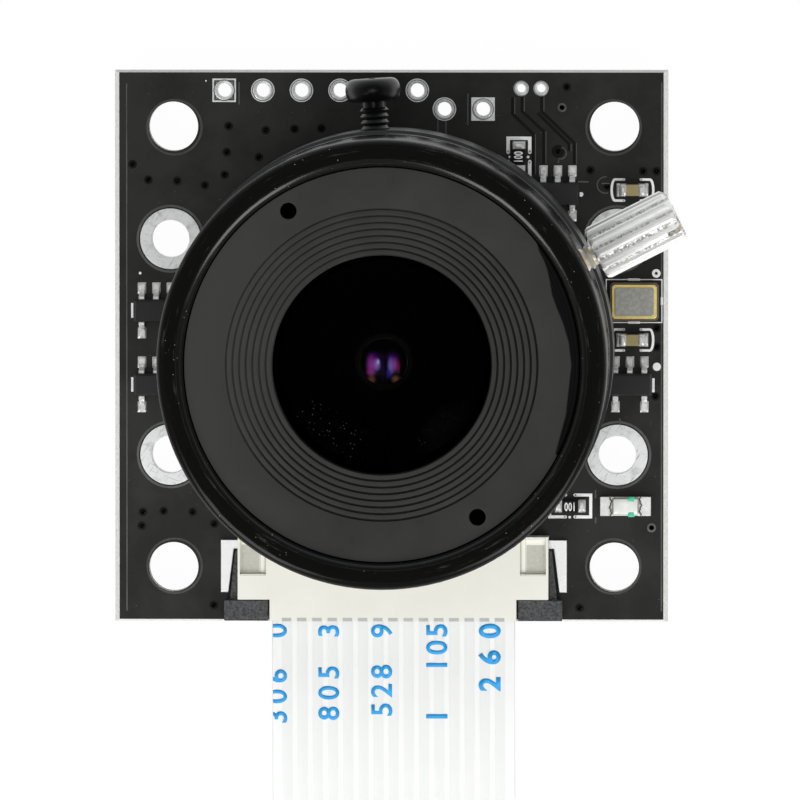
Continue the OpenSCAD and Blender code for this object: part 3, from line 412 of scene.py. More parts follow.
class Recipe:
    """The node tree of one finish."""

    def __init__(self, name: str, world: bpy.types.World | None = None) -> None:
        """Starts an empty tree that ends in a surface output, or in the world's."""
        self.material = world or bpy.data.materials.new(name)
        self.material.use_nodes = True
        self.tree = self.material.node_tree
        self.tree.nodes.clear()
        self.end = self.tree.nodes.new("ShaderNodeOutputWorld" if world else "ShaderNodeOutputMaterial")

    def node(self, kind: str, inputs: dict[Any, Any] | None = None, output: int | str = 0,
             **settings: Any) -> Value:
        """Adds one node.

        Args:
            kind: The node's type.
            inputs: Values or links of its sockets, by index or name.
            output: Which output is wanted.
            settings: Its settings, set first; "stops" are a ramp's (position, colour) pairs.

        Returns:
            That output.
        """
        made = self.tree.nodes.new("ShaderNode" + kind)
        for key, value in settings.items():
            if key == "stops":
                ramp = made.color_ramp
                while len(ramp.elements) < len(value):
                    ramp.elements.new(0.5)
                for element, (at, colour) in zip(ramp.elements, value):
                    element.position, element.color = at, (*colour, 1.0)
            else:
                setattr(made, key, value)
        for key, value in (inputs or {}).items():
            if isinstance(value, Value):
                self.tree.links.new(value.socket, made.inputs[key])
            elif isinstance(value, tuple) and made.inputs[key].type == "RGBA":
                made.inputs[key].default_value = (*value, 1.0)
            else:
                made.inputs[key].default_value = value
        return Value(self, made.outputs[output])

    def place(self, stretch: Colour = WHITE, turn: float = 0.0) -> Value:
        """Object coordinates in millimetres, turned about Z and stretched along the axes."""
        spot = self.node("TexCoord", output="Object")
        turned = self.node("Mapping", {0: spot, 2: (0.0, 0.0, math.radians(turn))})
        return self.node("VectorMath", {0: turned, 1: tuple(s / MM for s in stretch)}, operation="MULTIPLY")

    def parts(self, vector: Value) -> tuple[Value, Value, Value]:
        """X, Y and Z of a vector."""
        outputs = self.node("SeparateXYZ", {0: vector}).socket.node.outputs
        return tuple(Value(self, outputs[i]) for i in range(3))

    @cached_property
    def spot(self) -> Value:
        """The place on the surface, in millimetres."""
        return self.place()

    @cached_property
    def axes(self) -> tuple[Value, Value, Value]:
        """X, Y and Z of the place."""
        return self.parts(self.spot)

    @cached_property
    def up(self) -> Value:
        """How far the surface faces up, from -1 to 1."""
        return self.parts(self.node("NewGeometry", output="Normal"))[2]

    def join(self, x: Value, y: Value, z: Value) -> Value:
        """The vector of three values."""
        return self.node("CombineXYZ", {0: x, 1: y, 2: z})

    def noise(self, scale: float, detail: float = 3.0, rough: float = 0.55,
              spot: Value | None = None) -> Value:
        """Cloudy noise from 0 to 1; scale counts features per millimetre."""
        return self.node("TexNoise", {"Vector": spot or self.spot, "Scale": scale, "Detail": detail,
                                      "Roughness": rough})

    def lines(self, amount: Value, scale: float, detail: float = 4.0) -> Value:
        """Noise along one number, for turned rings and lines."""
        return self.node("TexNoise", {"W": amount, "Scale": scale, "Detail": detail, "Roughness": 0.6},
                         noise_dimensions="1D")

    def specks(self, scale: float, size: float) -> Value:
        """1 inside small scattered specks, else 0."""
        near = self.node("TexVoronoi", {"Vector": self.spot, "Scale": scale}, "Distance")
        return 1 - near.ramp(size * 0.5, size)

    def graph(self, amount: Value, points: Sequence[Spot]) -> Value:
        """Reads a graph, straight between its points.

        Args:
            amount: The place to read it at.
            points: Its (place, height) points.

        Returns:
            The height there.
        """
        (low, least), (high, most) = np.min(points, axis=0).tolist(), np.max(points, axis=0).tolist()
        stops = [((at - low) / (high - low), ((v - least) / (most - least),) * 3) for at, v in points]
        share = self.node("ValToRGB", {0: (amount - low) / (high - low)}, stops=stops)
        return share * (most - least) + least

    def blend(self, mask: Any, first: Any, second: Any) -> Value:
        """Colour that goes from first to second as the mask goes from 0 to 1."""
        return self.node("Mix", {0: mask, 6: first, 7: second}, 2, data_type="RGBA")

    def close(self, shader: Value) -> Any:
        """Ends the tree in a shader, and gives the finished material or world."""
        self.tree.links.new(shader.socket, self.end.inputs[0])
        return self.material

    def surface(self, colour: Any, rough: Any, height: Value | None = None, depth: float = 0.0,
                specular: float = 0.5, **more: Any) -> bpy.types.Material:
        """Ends the tree in one Principled shader.

        Args:
            colour: Its colour.
            rough: Its roughness.
            height: Its relief, where it has one.
            depth: Depth of the relief.
            specular: Its specular level.
            more: Its other sockets, with underscores for spaces.

        Returns:
            The material.
        """
        sockets = {"Base Color": colour, "Roughness": rough, "Specular IOR Level": specular}
        sockets.update({key.replace("_", " "): value for key, value in more.items()})
        if height is not None:
            sockets["Normal"] = self.node("Bump", {"Height": height, "Distance": depth * MM, "Strength": 1.0})
        return self.close(self.node("BsdfPrincipled", sockets))


class Grain(Enum):
    """How a plain finish is worked: its noise's features per grain, detail and roughness."""

    MOULDED = (0.6, 3.0, 0.5)
    BLASTED = (1.0, 2.0, 0.4)
    TURNED = (1.0, 4.0, 0.6)
    DRAWN = (1.0, 4.0, 0.65)
    CAST = (1.0, 5.0, 0.7)


@dataclass(frozen=True)
class Finish:
    """A finish of one colour, with its grain, mottling and dust.

    Fields are the colour, how rough and how metallic it is, the size and depth of its grain,
    how much its colour varies, the grain's share in that, its specular level, how it is
    worked, the size of light specks, and its coat.
    """

    name: str
    colour: Colour
    roughness: float = 0.5
    metallic: float = 0.0
    size: float = 0.08
    depth: float = 0.002
    variation: float = 0.12
    mottle: float = 0.4
    specular: float = 0.5
    grain: Grain = Grain.CAST
    dust: float = 0.0
    coat: float = 0.0

    def relief(self, made: Recipe) -> Value:
        """Height of the grain.

        Args:
            made: The recipe it belongs to.

        Returns:
            The height, 0 to 1.
        """
        if self.grain is Grain.TURNED:
            x, y, z = made.axes
            return made.lines(far(x, y) + z * 1.7, 1 / self.size)
        share, detail, rough = self.grain.value
        spot = made.place((1.0, 0.06, 1.0)) if self.grain is Grain.DRAWN else made.spot
        return made.noise(share / self.size, detail, rough, spot)

    def make(self) -> bpy.types.Material:
        """Builds the material.

        Returns:
            The material, ready for a piece.
        """
        made = Recipe(self.name)
        relief = self.relief(made)
        cloud = made.noise(0.45, 4.0, 0.6)
        mix = (cloud * (1 - self.mottle) + relief * self.mottle).ramp(0.3, 0.7)
        deep, pale = shade(self.colour, 1 - self.variation), shade(self.colour, 1 + self.variation)
        colour = made.blend(mix, deep, pale)
        rough = self.roughness + (cloud - 0.5) * 0.2
        if self.dust:
            speck = made.specks(2.3, self.dust)
            colour = made.blend(speck * 0.6, colour, (0.42, 0.42, 0.4))
            rough = rough + speck * 0.3
        more = {"Coat_Weight": self.coat, "Coat_Roughness": 0.12} if self.coat else {}
        return made.surface(colour, rough, relief, self.depth, self.specular, Metallic=self.metallic, **more)


@dataclass(frozen=True)
class SolderMask:
    """Black solder mask over fibreglass: satin and cloudy on the faces, pale woven fibre on cut edges."""

    name: str = "board_black"
    half: Spot = (17.9, 18.05)
    shift: Spot = (-0.17, 0.04)
    mask: Colour = (0.0125, 0.0126, 0.0116)
    copper: Colour = (0.0250, 0.0252, 0.0232)
    fibre: Colour = (0.92, 0.93, 0.90)
    fibre_dark: Colour = (0.62, 0.62, 0.59)
    dust: Colour = (0.35, 0.35, 0.33)

    def make(self) -> bpy.types.Material:
        """Builds the material.

        Returns:
            The board's material.
        """
        made = Recipe(self.name)
        x, y, _ = made.axes
        cloud = made.noise(0.25, 5.0, 0.6)
        fine = made.noise(9.0, 3.0, 0.6)
        weave = (x * 12.6).wave() * (y * 12.6).wave()
        face = made.blend(cloud.ramp(0.35, 0.65), self.mask, self.copper)
        outside = (abs(x - self.shift[0]) - self.half[0]).most(abs(y - self.shift[1]) - self.half[1]) > 0.0
        cut = outside.most((0.5 - abs(made.up)) > 0.0)
        strands = made.noise(5.0, 4.0, 0.7, made.place((1.0, 1.0, 6.0)))
        edge = made.blend(strands.ramp(0.35, 0.7), self.fibre_dark, self.fibre)
        speck = made.specks(1.6, 0.05) * 0.5 * (1 - cut)
        colour = made.blend(speck, made.blend(cut, face, edge), self.dust)
        height = weave * 0.12 + fine * 0.35 + cut * strands * 3.0
        return made.surface(colour, 0.4 + (cloud - 0.5) * 0.16 + cut * 0.4, height, 0.006, 0.3)


@dataclass(frozen=True)
class ScratchedTin:
    """Plated and tinned copper with fine random scratches and dull patches."""

    name: str = "tinned_pads"
    colour: Colour = (0.90, 0.92, 0.91)
    dark: Colour = (0.24, 0.25, 0.24)
    roughness: float = 0.4
    metallic: float = 0.28
    scratch: float = 0.75
    depth: float = 0.006

    def make(self) -> bpy.types.Material:
        """Builds the material.

        Returns:
            The plating's material.
        """
        made = Recipe(self.name)
        first = made.noise(9.0, 4.0, 0.7, made.place((1.0, 0.08, 1.0), 35.0))
        second = made.noise(9.0, 4.0, 0.7, made.place((0.08, 1.0, 1.0), 20.0))
        cloud = made.noise(1.3, 4.0, 0.6)
        mark = first.ramp(0.55, 0.72).most(second.ramp(0.57, 0.74)) * self.scratch
        colour = made.blend(mark.most(cloud.ramp(0.5, 0.75) * 0.45), self.colour, self.dark)
        rough = self.roughness + mark * 0.25 + (cloud - 0.5) * 0.2
        height = first * 0.5 + second * 0.5 + cloud
        return made.surface(colour, rough, height, self.depth, Metallic=self.metallic)


@dataclass(frozen=True)
class TurnedFace:
    """Grey-black anodising on a turned face: fine rings, painted shade on the grooves' walls, a painted
    lighter side towards -X, and a painted dark reflection of the rim on the right.

    The painted reflection lies beyond a graph of X by Y.
    """

    name: str = "face_grey"
    colour: Colour = (0.0350, 0.0352, 0.0334)
    # painted shade on the grooves' walls, also the ring lines inside the painted reflection
    groove: Colour = (0.010, 0.010, 0.010)
    # painted dark reflection of the rim on the face
    lacquer: Colour = (0.0015, 0.0015, 0.0015)
    # edge of the painted reflection: X at each Y
    smear: tuple[Spot, ...] = (
        (-6.6, 12.9), (-5.7, 11.1), (-3.16, 11.77), (0.0, 12.12), (1.45, 11.95), (2.64, 11.6), (3.67, 11.18),
        (4.52, 10.88), (5.38, 10.74), (6.1, 10.58), (6.7, 10.36), (7.3, 10.05), (7.9, 9.9), (8.2, 10.9))

    def make(self) -> bpy.types.Material:
        """Builds the material.

        Returns:
            The face ring's material.
        """
        made = Recipe(self.name)
        x, y, _ = made.axes
        rings = made.lines(far(x, y), 14.0)
        cloud = made.noise(0.3, 4.0, 0.6)
        fine = made.noise(18.0, 2.0, 0.5)
        tone = made.blend(cloud.ramp(0.3, 0.7), shade(self.colour, 0.9), shade(self.colour, 1.05))
        # painted light: the face grows lighter towards -X
        tone = made.blend((0 - x).ramp(2.0, 13.0) * 0.6, tone, shade(self.colour, 1.35))
        # painted shade: the grooves' walls, which don't face up, are darker; the shade fades out towards +Y
        # and -X
        groove_shade_fade = (y * 0.62 - x * 0.62 + abs(x * 0.35)).ramp(1.0, 7.5)
        cut = (1 - made.up.ramp(0.8, 0.99)) * (1 - groove_shade_fade * 0.82)
        # painted dark reflection of the rim beyond the graph, with its own ring lines, rougher and without
        # relief
        lacquer = (x - made.graph(y, self.smear)).ramp(-0.06, 0.06)
        clear = 1 - lacquer
        colour = made.blend(lacquer, made.blend(cut, tone, self.groove),
                            made.blend(rings.ramp(0.4, 0.9), self.lacquer, self.groove))
        rough = (0.46 + (cloud - 0.5) * 0.12) * clear + lacquer * 0.8
        return made.surface(colour, rough, (rings * 0.5 + fine * 0.8) * clear, 0.003, 0.08)


@dataclass(frozen=True)
class PolishedBarrel:
    """Deep black polished anodising, with fine turned lines on the side painted lighter and bluish as a
    painted reflection, faint handling marks and lint.
    """

    name: str = "barrel_black"
    colour: Colour = (0.0050, 0.0050, 0.0042)
    # bluish grey of the turned lines on the side: a painted reflection
    side: Colour = (0.0075, 0.0086, 0.0092)
    mark: Colour = (0.05, 0.05, 0.046)
    lint: Colour = (0.45, 0.45, 0.41)
    edge_r: float = 13.5

    def make(self) -> bpy.types.Material:
        """Builds the material.

        Returns:
            The barrel's material.
        """
        made = Recipe(self.name)
        x, y, z = made.axes
        turned = made.lines(z, 6.0, 2.0)
        flank = 1 - abs(made.up).ramp(0.1, 0.5)
        radius = far(x, y)
        along = made.node("Math", {0: y, 1: x}, operation="ARCTAN2")
        streak = made.noise(1.6, 4.0, 0.7, made.join(radius * 3.0, along * 3.0, z * 3.0))
        marks = streak.ramp(0.58, 0.68) * made.noise(0.5).ramp(0.4, 0.6)
        lint = made.specks(2.4, 0.07) * made.noise(0.35).ramp(0.42, 0.55)
        black = made.blend(marks * 0.6, self.colour, self.mark)
        # painted reflection: the side's turned lines take the bluish grey
        colour = made.blend(lint, made.blend(flank * turned.ramp(0.35, 0.65), black, self.side), self.lint)
        slope = 1 - made.up.ramp(0.985, 0.999)
        edge = (self.edge_r - radius).ramp(0.0, 0.15) * slope
        return made.surface(colour, 0.2 + flank * 0.2 + marks * 0.15, turned * flank, 0.002, 0.0,
                            Coat_Weight=edge.most(slope * 0.4), Coat_Roughness=0.18)


@dataclass(frozen=True)
class FlutedNickel:
    """Bright nickel on the fluted knob, dirt in the flutes and a yellowed thread.

    Depth below the crests is the knob's radius less the distance from its axis.
    """

    name: str = "nickel_screw"
    colour: Colour = (0.96, 0.96, 0.94)
    dirt: Colour = (0.16, 0.16, 0.15)
    gold: Colour = (0.90, 0.78, 0.50)
    angle: float = 26.8
    height: float = 23.6
    radius: float = 1.8
    shank: float = 0.95

    def make(self) -> bpy.types.Material:
        """Builds the material.

        Returns:
            The thumb screw's material.
        """
        made = Recipe(self.name)
        x, y, z = made.axes
        cos, sin = math.cos(math.radians(self.angle)), math.sin(math.radians(self.angle))
        along = x * cos + y * sin
        across = y * cos - x * sin
        rise = z - self.height
        away = far(across, rise)
        drawn = made.noise(7.0, 4.0, 0.7, made.join(along * 0.35, across, rise))
        grit = made.noise(4.5, 4.0, 0.75, made.join(along, across, rise))
        patches = made.noise(0.8, 1.0, spot=made.join(along * 0.04, across, rise))
        knob = away.ramp(self.shank, self.shank + 0.15)
        deep = (1 - away.ramp(self.radius - 0.29, self.radius - 0.16)) * knob
        dirt = deep * grit.ramp(0.43, 0.58) * patches.ramp(0.42, 0.52)
        tint = made.blend((1 - knob) * grit.ramp(0.42, 0.6), self.colour, self.gold)
        colour = made.blend((dirt * 0.85).most(drawn.ramp(0.55, 0.8) * 0.3), tint, self.dirt)
        return made.surface(colour, 0.3 + dirt * 0.35 + drawn * 0.1, drawn + grit * deep, 0.012,
                            Metallic=0.42 - dirt * 0.35)


@dataclass(frozen=True)
class ClearGlass:
    """Coated optical glass."""

    name: str
    colour: Colour = (0.95, 0.97, 1.0)
    index: float = 1.5
    specular: float = 0.15
    coat: float = 0.0

    def make(self) -> bpy.types.Material:
        """Builds the material.

        Returns:
            The glass's material.
        """
        made = Recipe(self.name)
        haze = made.noise(0.5, 3.0)
        return made.surface(self.colour, haze * 0.02, specular=self.specular, IOR=self.index,
                            Transmission_Weight=1.0, Coat_Weight=self.coat, Coat_Roughness=0.12)


@dataclass(frozen=True)
class PaintedPupilReflections:
    """Small second lens under its coating, coloured with painted reflections of the lamps: two violet lobes,
    a painted bluish-white highlight, a dark middle and amber low at the sides.

    Each patch is a middle, two half sizes and a colour, and falls off as a smooth step of the
    distance from its middle.
    """

    name: str = "coated_glass"
    dark: Colour = (0.0008, 0.0006, 0.001)
    # painted reflections: each patch is one coloured reflection or highlight of the lamps in the coatings
    patches: tuple[tuple[float, float, float, float, Colour], ...] = (
        (-0.62, 0.28, 0.42, 0.34, (0.05, 0.0, 0.11)), (0.6, 0.28, 0.42, 0.34, (0.035, 0.0, 0.09)),
        (-0.85, -0.69, 0.25, 0.2, (0.25, 0.02, 0.12)), (-0.78, -0.24, 0.30, 0.62, (0.35, 0.045, 0.40)),
        (-0.43, -0.15, 0.22, 0.36, (0.30, 0.19, 0.65)), (-0.36, 0.0, 0.09, 0.16, (0.62, 0.52, 0.85)),
        (0.47, -0.24, 0.2, 0.5, (0.20, 0.14, 0.62)), (0.72, -0.18, 0.2, 0.42, (0.30, 0.05, 0.30)),
        (0.95, -0.3, 0.1, 0.4, (0.20, 0.01, 0.06)), (0.31, -0.76, 0.15, 0.3, (0.02, 0.01, 0.25)),
        (-0.78, -1.14, 0.25, 0.24, (0.17, 0.07, 0.04)), (0.78, -1.14, 0.25, 0.24, (0.17, 0.07, 0.04)),
        (-0.05, -0.3, 0.16, 0.8, (0.006, 0.002, 0.03)))

    def make(self) -> bpy.types.Material:
        """Builds the material.

        Returns:
            The coated lens's material.
        """
        made = Recipe(self.name)
        x, y, _ = made.axes
        colour = self.dark
        # paints each reflection over the dark lens
        for px, py, half_x, half_y, tone in self.patches:
            away = far((x - px) / half_x, (y - py) / half_y)
            colour = made.blend((1 - away.ramp(0.0, 1.5)) * 0.9, colour, tone)
        return made.surface(colour, 0.3 + made.noise(2.0) * 0.05, specular=0.03)


@dataclass(frozen=True)
class CableFilm:
    """White polyester film over flat conductors, which show through as faint stripes, with painted shade
    where they run into the connector.
    """

    name: str = "cable_white"
    film: Colour = (0.90, 0.905, 0.90)
    conductor: Colour = (0.82, 0.83, 0.818)
    # painted shade where the conductors run into the connector's notches
    mouth: Colour = (0.52, 0.51, 0.49)
    pitch: float = 1.0
    half_width: float = 8.0
    mouth_y: Spot = (-18.03, -17.77)

    def make(self) -> bpy.types.Material:
        """Builds the material.

        Returns:
            The cable's material.
        """
        made = Recipe(self.name)
        x, y, _ = made.axes
        wave = (x * (2 * math.pi / self.pitch) + math.pi / 2).wave()
        inside = (self.half_width - 0.5 - abs(x)) > 0.0
        cloud = made.noise(0.5, 4.0, 0.6)
        fine = made.noise(6.0, 3.0, 0.6, made.place((1.0, 0.12, 1.0)))
        strip = wave.ramp(-0.75, -0.2) * inside
        tone = strip * (0.7 + cloud * 0.5)
        # painted shade: dark dashes over the conductors at the connector's mouth
        in_mouth_shade = (y > self.mouth_y[0]) * (self.mouth_y[1] - y).ramp(0.0, 0.05) * (wave > -0.5) * inside
        colour = made.blend(in_mouth_shade, made.blend(tone, self.film, self.conductor), self.mouth)
        return made.surface(colour, 0.34 + fine * 0.12, strip + fine * 0.25, 0.02)


@dataclass(frozen=True)
class MouldedCream:
    """Cream nylon with faint dark lines along its pockets' edges, and two shallow pockets with painted shade
    on their floor and a painted highlight on their inner wall.

    Places are distances from the middle of the housing along X, and heights along Y.
    """

    name: str = "connector_cream"
    colour: Colour = (0.90, 0.895, 0.81)
    # painted shade on the pockets' floor
    floor: Colour = (0.60, 0.60, 0.53)
    # painted highlight on the pockets' inner wall
    wall: Colour = (0.98, 0.98, 0.94)
    line: Colour = (0.45, 0.41, 0.30)
    floor_x: Spot = (8.74, 9.98)
    floor_y: Spot = (-14.72, -12.9)
    wall_x: Spot = (8.46, 8.68)
    lines_x: tuple[float, float, float] = (8.39, 8.71, 10.0)
    lines_y: Spot = (-14.93, -14.77)
    lines_top: float = -12.4

    def make(self) -> bpy.types.Material:
        """Builds the material.

        Returns:
            The housing's material.
        """
        made = Recipe(self.name)
        x, y, _ = made.axes
        away = abs(x)
        cloud = made.noise(0.4, 4.0, 0.6)
        grain = made.noise(5.0, 4.0, 0.65)
        # faint dark lines along the pockets' edges
        first, *others = self.lines_x
        stroke = within(away, first - 0.05, first + 0.05)
        for place in others:
            stroke = stroke.most(within(away, place - 0.04, place + 0.04) * 0.7)
        for place in self.lines_y:
            stroke = stroke.most(within(y, place - 0.04, place + 0.04) * within(away, first, others[-1]))
        faint = grain.ramp(0.2, 0.5) * 0.5 + 0.3
        stroke = stroke * within(y, self.lines_y[0] - 0.04, self.lines_top) * faint
        body = made.blend(cloud.ramp(0.3, 0.7), shade(self.colour, 0.975), self.colour)
        # painted shade: greyer floor of the pockets
        shaded_floor = made.blend(grain.ramp(0.3, 0.7), shade(self.floor, 0.88), self.floor)
        tall = within(y, *self.floor_y)
        colour = made.blend(within(away, *self.floor_x) * tall, body, shaded_floor)
        # painted highlight on the pockets' inner wall
        colour = made.blend(within(away, *self.wall_x) * tall, colour, self.wall)
        colour = made.blend(stroke, colour, self.line)
        return made.surface(colour, 0.42 + (grain - 0.5) * 0.1, grain, 0.005, 0.4)


# Columns: name, colour, roughness, metallic, size and depth of the grain, variation, mottle.
PLAIN = (
    Finish("anodised_black", (0.009, 0.009, 0.0092), 0.36, 0.0, 0.11, 0.001, specular=0.3,
           grain=Grain.TURNED, dust=0.03),
    Finish("inner_black", (0.0005, 0.0005, 0.0005), 0.9, specular=0.0, grain=Grain.BLASTED),
    Finish("seat_black", (0.0030, 0.0034, 0.0022), 0.7, 0.0, 0.1, specular=0.05, grain=Grain.TURNED),
    Finish("black_screw", (0.0045, 0.0045, 0.004), 0.3, 0.0, 0.12, 0.006, specular=0.55),
    Finish("latch_black", (0.066, 0.068, 0.071), 0.6, 0.0, 0.22, 0.05, 0.75, 0.95, specular=0.4),
    Finish("tinned_tab", (0.98, 0.98, 0.97), 0.22, 0.9, 1.1, 0.02),
    Finish("contact_gold", (0.80, 0.62, 0.30), 0.3, 0.8, depth=0.001, grain=Grain.DRAWN),
    Finish("contact_tin", (0.70, 0.70, 0.68), 0.35, 0.8, depth=0.001, grain=Grain.DRAWN),
    Finish("lead_tin", (1.0, 1.0, 0.97), 0.2, 0.55, 0.55, 0.035, 0.2, 0.8),
    Finish("solder", (0.96, 0.96, 0.93), 0.2, 0.5, 0.6, 0.045, 0.3, 0.8),
    # solder rims brighter than the pad's tin: solder, partly a painted highlight
    Finish("pad_bright", (0.99, 0.99, 0.98), 0.4, 0.6, 0.3, 0.01, 0.04),
    # painted shade on the pads
    Finish("pad_shade", (0.07, 0.07, 0.065), 0.45, 0.0, 0.15, 0.01, 0.5),
    Finish("chip_black", (0.022, 0.022, 0.022), 0.62, 0.0, 0.05, 0.006, 0.25, specular=0.35),
    Finish("capacitor_tan", (0.38, 0.31, 0.14), 0.42, 0.0, 0.09, 0.006, 0.14),
    Finish("resistor_black", (0.006, 0.006, 0.006), 0.4, 0.0, 0.1, 0.004, specular=0.2),
    Finish("oscillator_ceramic", (0.13, 0.105, 0.07), 0.5, 0.0, 0.1, 0.006),
    Finish("seal_gold", (0.98, 0.70, 0.24), 0.25, 0.5, 0.3, 0.01, 0.2),
    Finish("lid_steel", (0.42, 0.42, 0.38), 0.4, 0.3, 0.25, 0.008, 0.2, 0.8),
    Finish("led_white", (0.80, 0.80, 0.77), 0.5, 0.0, 0.1, 0.003, 0.03, grain=Grain.MOULDED),
    Finish("led_green", (0.07, 0.66, 0.38), 0.4, 0.0, 0.1, 0.003, grain=Grain.MOULDED),
    Finish("led_seam", (0.10, 0.085, 0.06), 0.4, 0.0, 0.1, 0.01, 0.5),
    Finish("led_clear", (0.84, 0.86, 0.81), 0.22, 0.0, 0.25, 0.012, 0.08, grain=Grain.MOULDED, coat=0.5),
    Finish("stiffener_blue", (0.03, 0.20, 0.60), 0.4, 0.0, 0.1, 0.004, 0.06, grain=Grain.MOULDED),
    Finish("cable_ink", (0.02, 0.37, 0.84), 0.5, 0.0, 0.12, 0.001, 0.1),
    Finish("board_ink", WHITE, 0.45, 0.0, 0.2, 0.001, 0.02),
    Finish("track_light", (0.085, 0.086, 0.084), 0.4, 0.0, 0.2, 0.004, 0.3),
    Finish("track_shade", (0.0082, 0.0082, 0.0078), 0.6, 0.0, 0.2, 0.004, specular=0.15),
    # painted highlight on the mask round the screw holes
    Finish("rim_mask", (0.055, 0.055, 0.052), 0.4, 0.0, 0.3, 0.004, 0.3),
    # painted shade in the middles of the holes
    Finish("via_black", (0.0004, 0.0004, 0.0004), 0.6, 0.0, 0.2, 0.004, specular=0.0),
    Finish("sensor_dark", (0.03, 0.035, 0.03), 0.35, 0.0, 0.1, 0.002))
SPECIAL = (
    SolderMask(), ScratchedTin(), TurnedFace(), PaintedPupilReflections(), CableFilm(), PolishedBarrel(), FlutedNickel(),
    MouldedCream(), ClearGlass("front_glass", WHITE, 1.02, 0.0, 0.003), ClearGlass("cover_glass"),
    ClearGlass("filter_glass", (0.75, 0.95, 0.97)))


# ---------------------------------------------------------------- the camera's parts

@dataclass
class Assembly:
    """A sub-assembly, and the materials that its pieces are dressed in, by name of the finish."""

    materials: dict[str, bpy.types.Material]

    def dress(self, piece: Piece, finish: str, slot: str | None = None) -> Piece:
        """Gives a piece its finish.

        Args:
            piece: The piece, or a solid's own object.
            finish: Name of the finish.
            slot: Name of the record's material slot, if it is a new piece; not used.

        Returns:
            The same piece.
        """
        for place in piece.material_slots:
            place.material = self.materials[finish]
        if not piece.material_slots:
            piece.data.materials.append(self.materials[finish])
        LOG.info("%s: %s, %d faces", piece.name, finish, len(piece.data.polygons))
        return piece

    def bare(self, finish: str, *nodes: str) -> None:
        """Dresses solids as they are."""
        for node in nodes:
            self.dress(frame["nodes"][node], finish)

    def ease(self, *plan: tuple[str, str, float, str]) -> None:
        """Dresses rounded copies: solid, piece, width of the rounding, and finish."""
        for node, name, width, finish in plan:
            self.dress(eased(node, name, width), finish, finish)

    def carry(self, piece: Piece, finish: str, slot: str) -> None:
        """Rides a new piece on the board's body and dresses it."""
        self.dress(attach(piece, "module"), finish, slot)


@dataclass
class Studio:
    """Floor, light and the camera's place."""

    camera_at: Colour = (27.5, 40.3, 1001.6)
    camera_aim: Colour = (0.4, -3.5, 1.6)
    focal: float = 685.0
    floor_z: float = -1.3
    floor_side: float = 3000.0
    ambient: float = 0.56
    lamps: tuple[tuple[str, Colour, Spot, float], ...] = (
        ("softbox", (-470, -600, 740), (420, 760), 4.3), ("softbox", (470, -600, 740), (420, 760), 4.3),
        ("overhead", (-30.0, -44.0, 1100.0), (420, 420), 0.62))

    def camera(self) -> None:
        """Sets the camera in front of the lens, a little to the right and above."""
        lens = bpy.data.cameras.new("view")
        lens.lens, lens.sensor_width = self.focal, 36.0
        lens.clip_start, lens.clip_end = 0.01, 20.0
        holder = bpy.data.objects.new("view", lens)
        bpy.context.scene.collection.objects.link(holder)
        start, aim = Vector(self.camera_at) * MM, Vector(self.camera_aim) * MM
        back = (start - aim).normalized()
        right = Vector((0, 1, 0)).cross(back).normalized()
        turn = np.array([right, back.cross(right), back]).T
        holder.matrix_world = Matrix.Translation(start) @ Matrix(turn.tolist()).to_4x4()
        bpy.context.scene.camera = holder

    def floor(self) -> None:
        """Lays the pale floor, which keeps a faint shadow and is otherwise plain white."""
        bag = Bag("floor")
        side = np.linspace(-self.floor_side / 2, self.floor_side / 2, 2)
        x, y = np.meshgrid(side, side, indexing="ij")
        for drop in (0.02, 1.0):
            bag.grid(np.stack([x, y, 0 * x + self.floor_z - drop], axis=-1))
        piece = bag.build()
        made = Recipe("studio_floor")
        seen = self.ray(made, "Camera").most(self.ray(made, "Glossy")).most(self.ray(made, "Transmission"))
        lit = made.node("BsdfDiffuse", {0: (0.86, 0.86, 0.86)})
        plain = made.node("Emission", {0: WHITE, 1: 1.03})
        both = made.node("MixShader", {0: seen * 0.94, 1: lit, 2: plain})
        piece.data.materials.append(made.close(both))

    @staticmethod
    def ray(made: Recipe, kind: str) -> Value:
        """1 for what a ray of that kind sees."""
        return made.node("LightPath", output=f"Is {kind} Ray")

    def world(self) -> None:
        """Soft even light; what metal mirrors is pale low and behind, and dark straight above."""
        world = bpy.data.worlds.new("studio")
        bpy.context.scene.world = world
        made = Recipe("studio", world)
        _, y, height = made.parts(made.node("TexCoord", output="Generated"))
        shown = self.ray(made, "Camera")
        mirrored = self.ray(made, "Glossy").most(self.ray(made, "Transmission"))
        behind = y.ramp(0.1, 0.8)
        level = mirrored * (0.24 + behind * 0.3) * (1 - height.ramp(0.2, 0.97) * 0.97)
        strength = shown + (1 - shown) * (level + (1 - mirrored) * self.ambient)
        tint = made.blend(mirrored * behind, WHITE, (0.84, 0.97, 1.0))
        made.close(made.node("Background", {0: tint, 1: strength}))

    def light(self) -> None:
        """Hangs the softboxes: name, middle, width and height, and power in watts; all face the board."""
        for name, at, size, power in self.lamps:
            light = bpy.data.lights.new(name, "AREA")
            light.shape, light.size, light.size_y = "RECTANGLE", size[0] * MM, size[1] * MM
            light.energy = power
            holder = bpy.data.objects.new(name, light)
            bpy.context.scene.collection.objects.link(holder)
            holder.location = Vector(at) * MM
            holder.rotation_mode = "QUATERNION"
            holder.rotation_quaternion = Vector(at).to_track_quat("Z", "Y")

    def make(self) -> None:
        """Builds camera, floor, world and softboxes."""
        self.camera()
        self.floor()
        self.world()
        self.light()
        bpy.context.scene.view_settings.view_transform = "Standard"


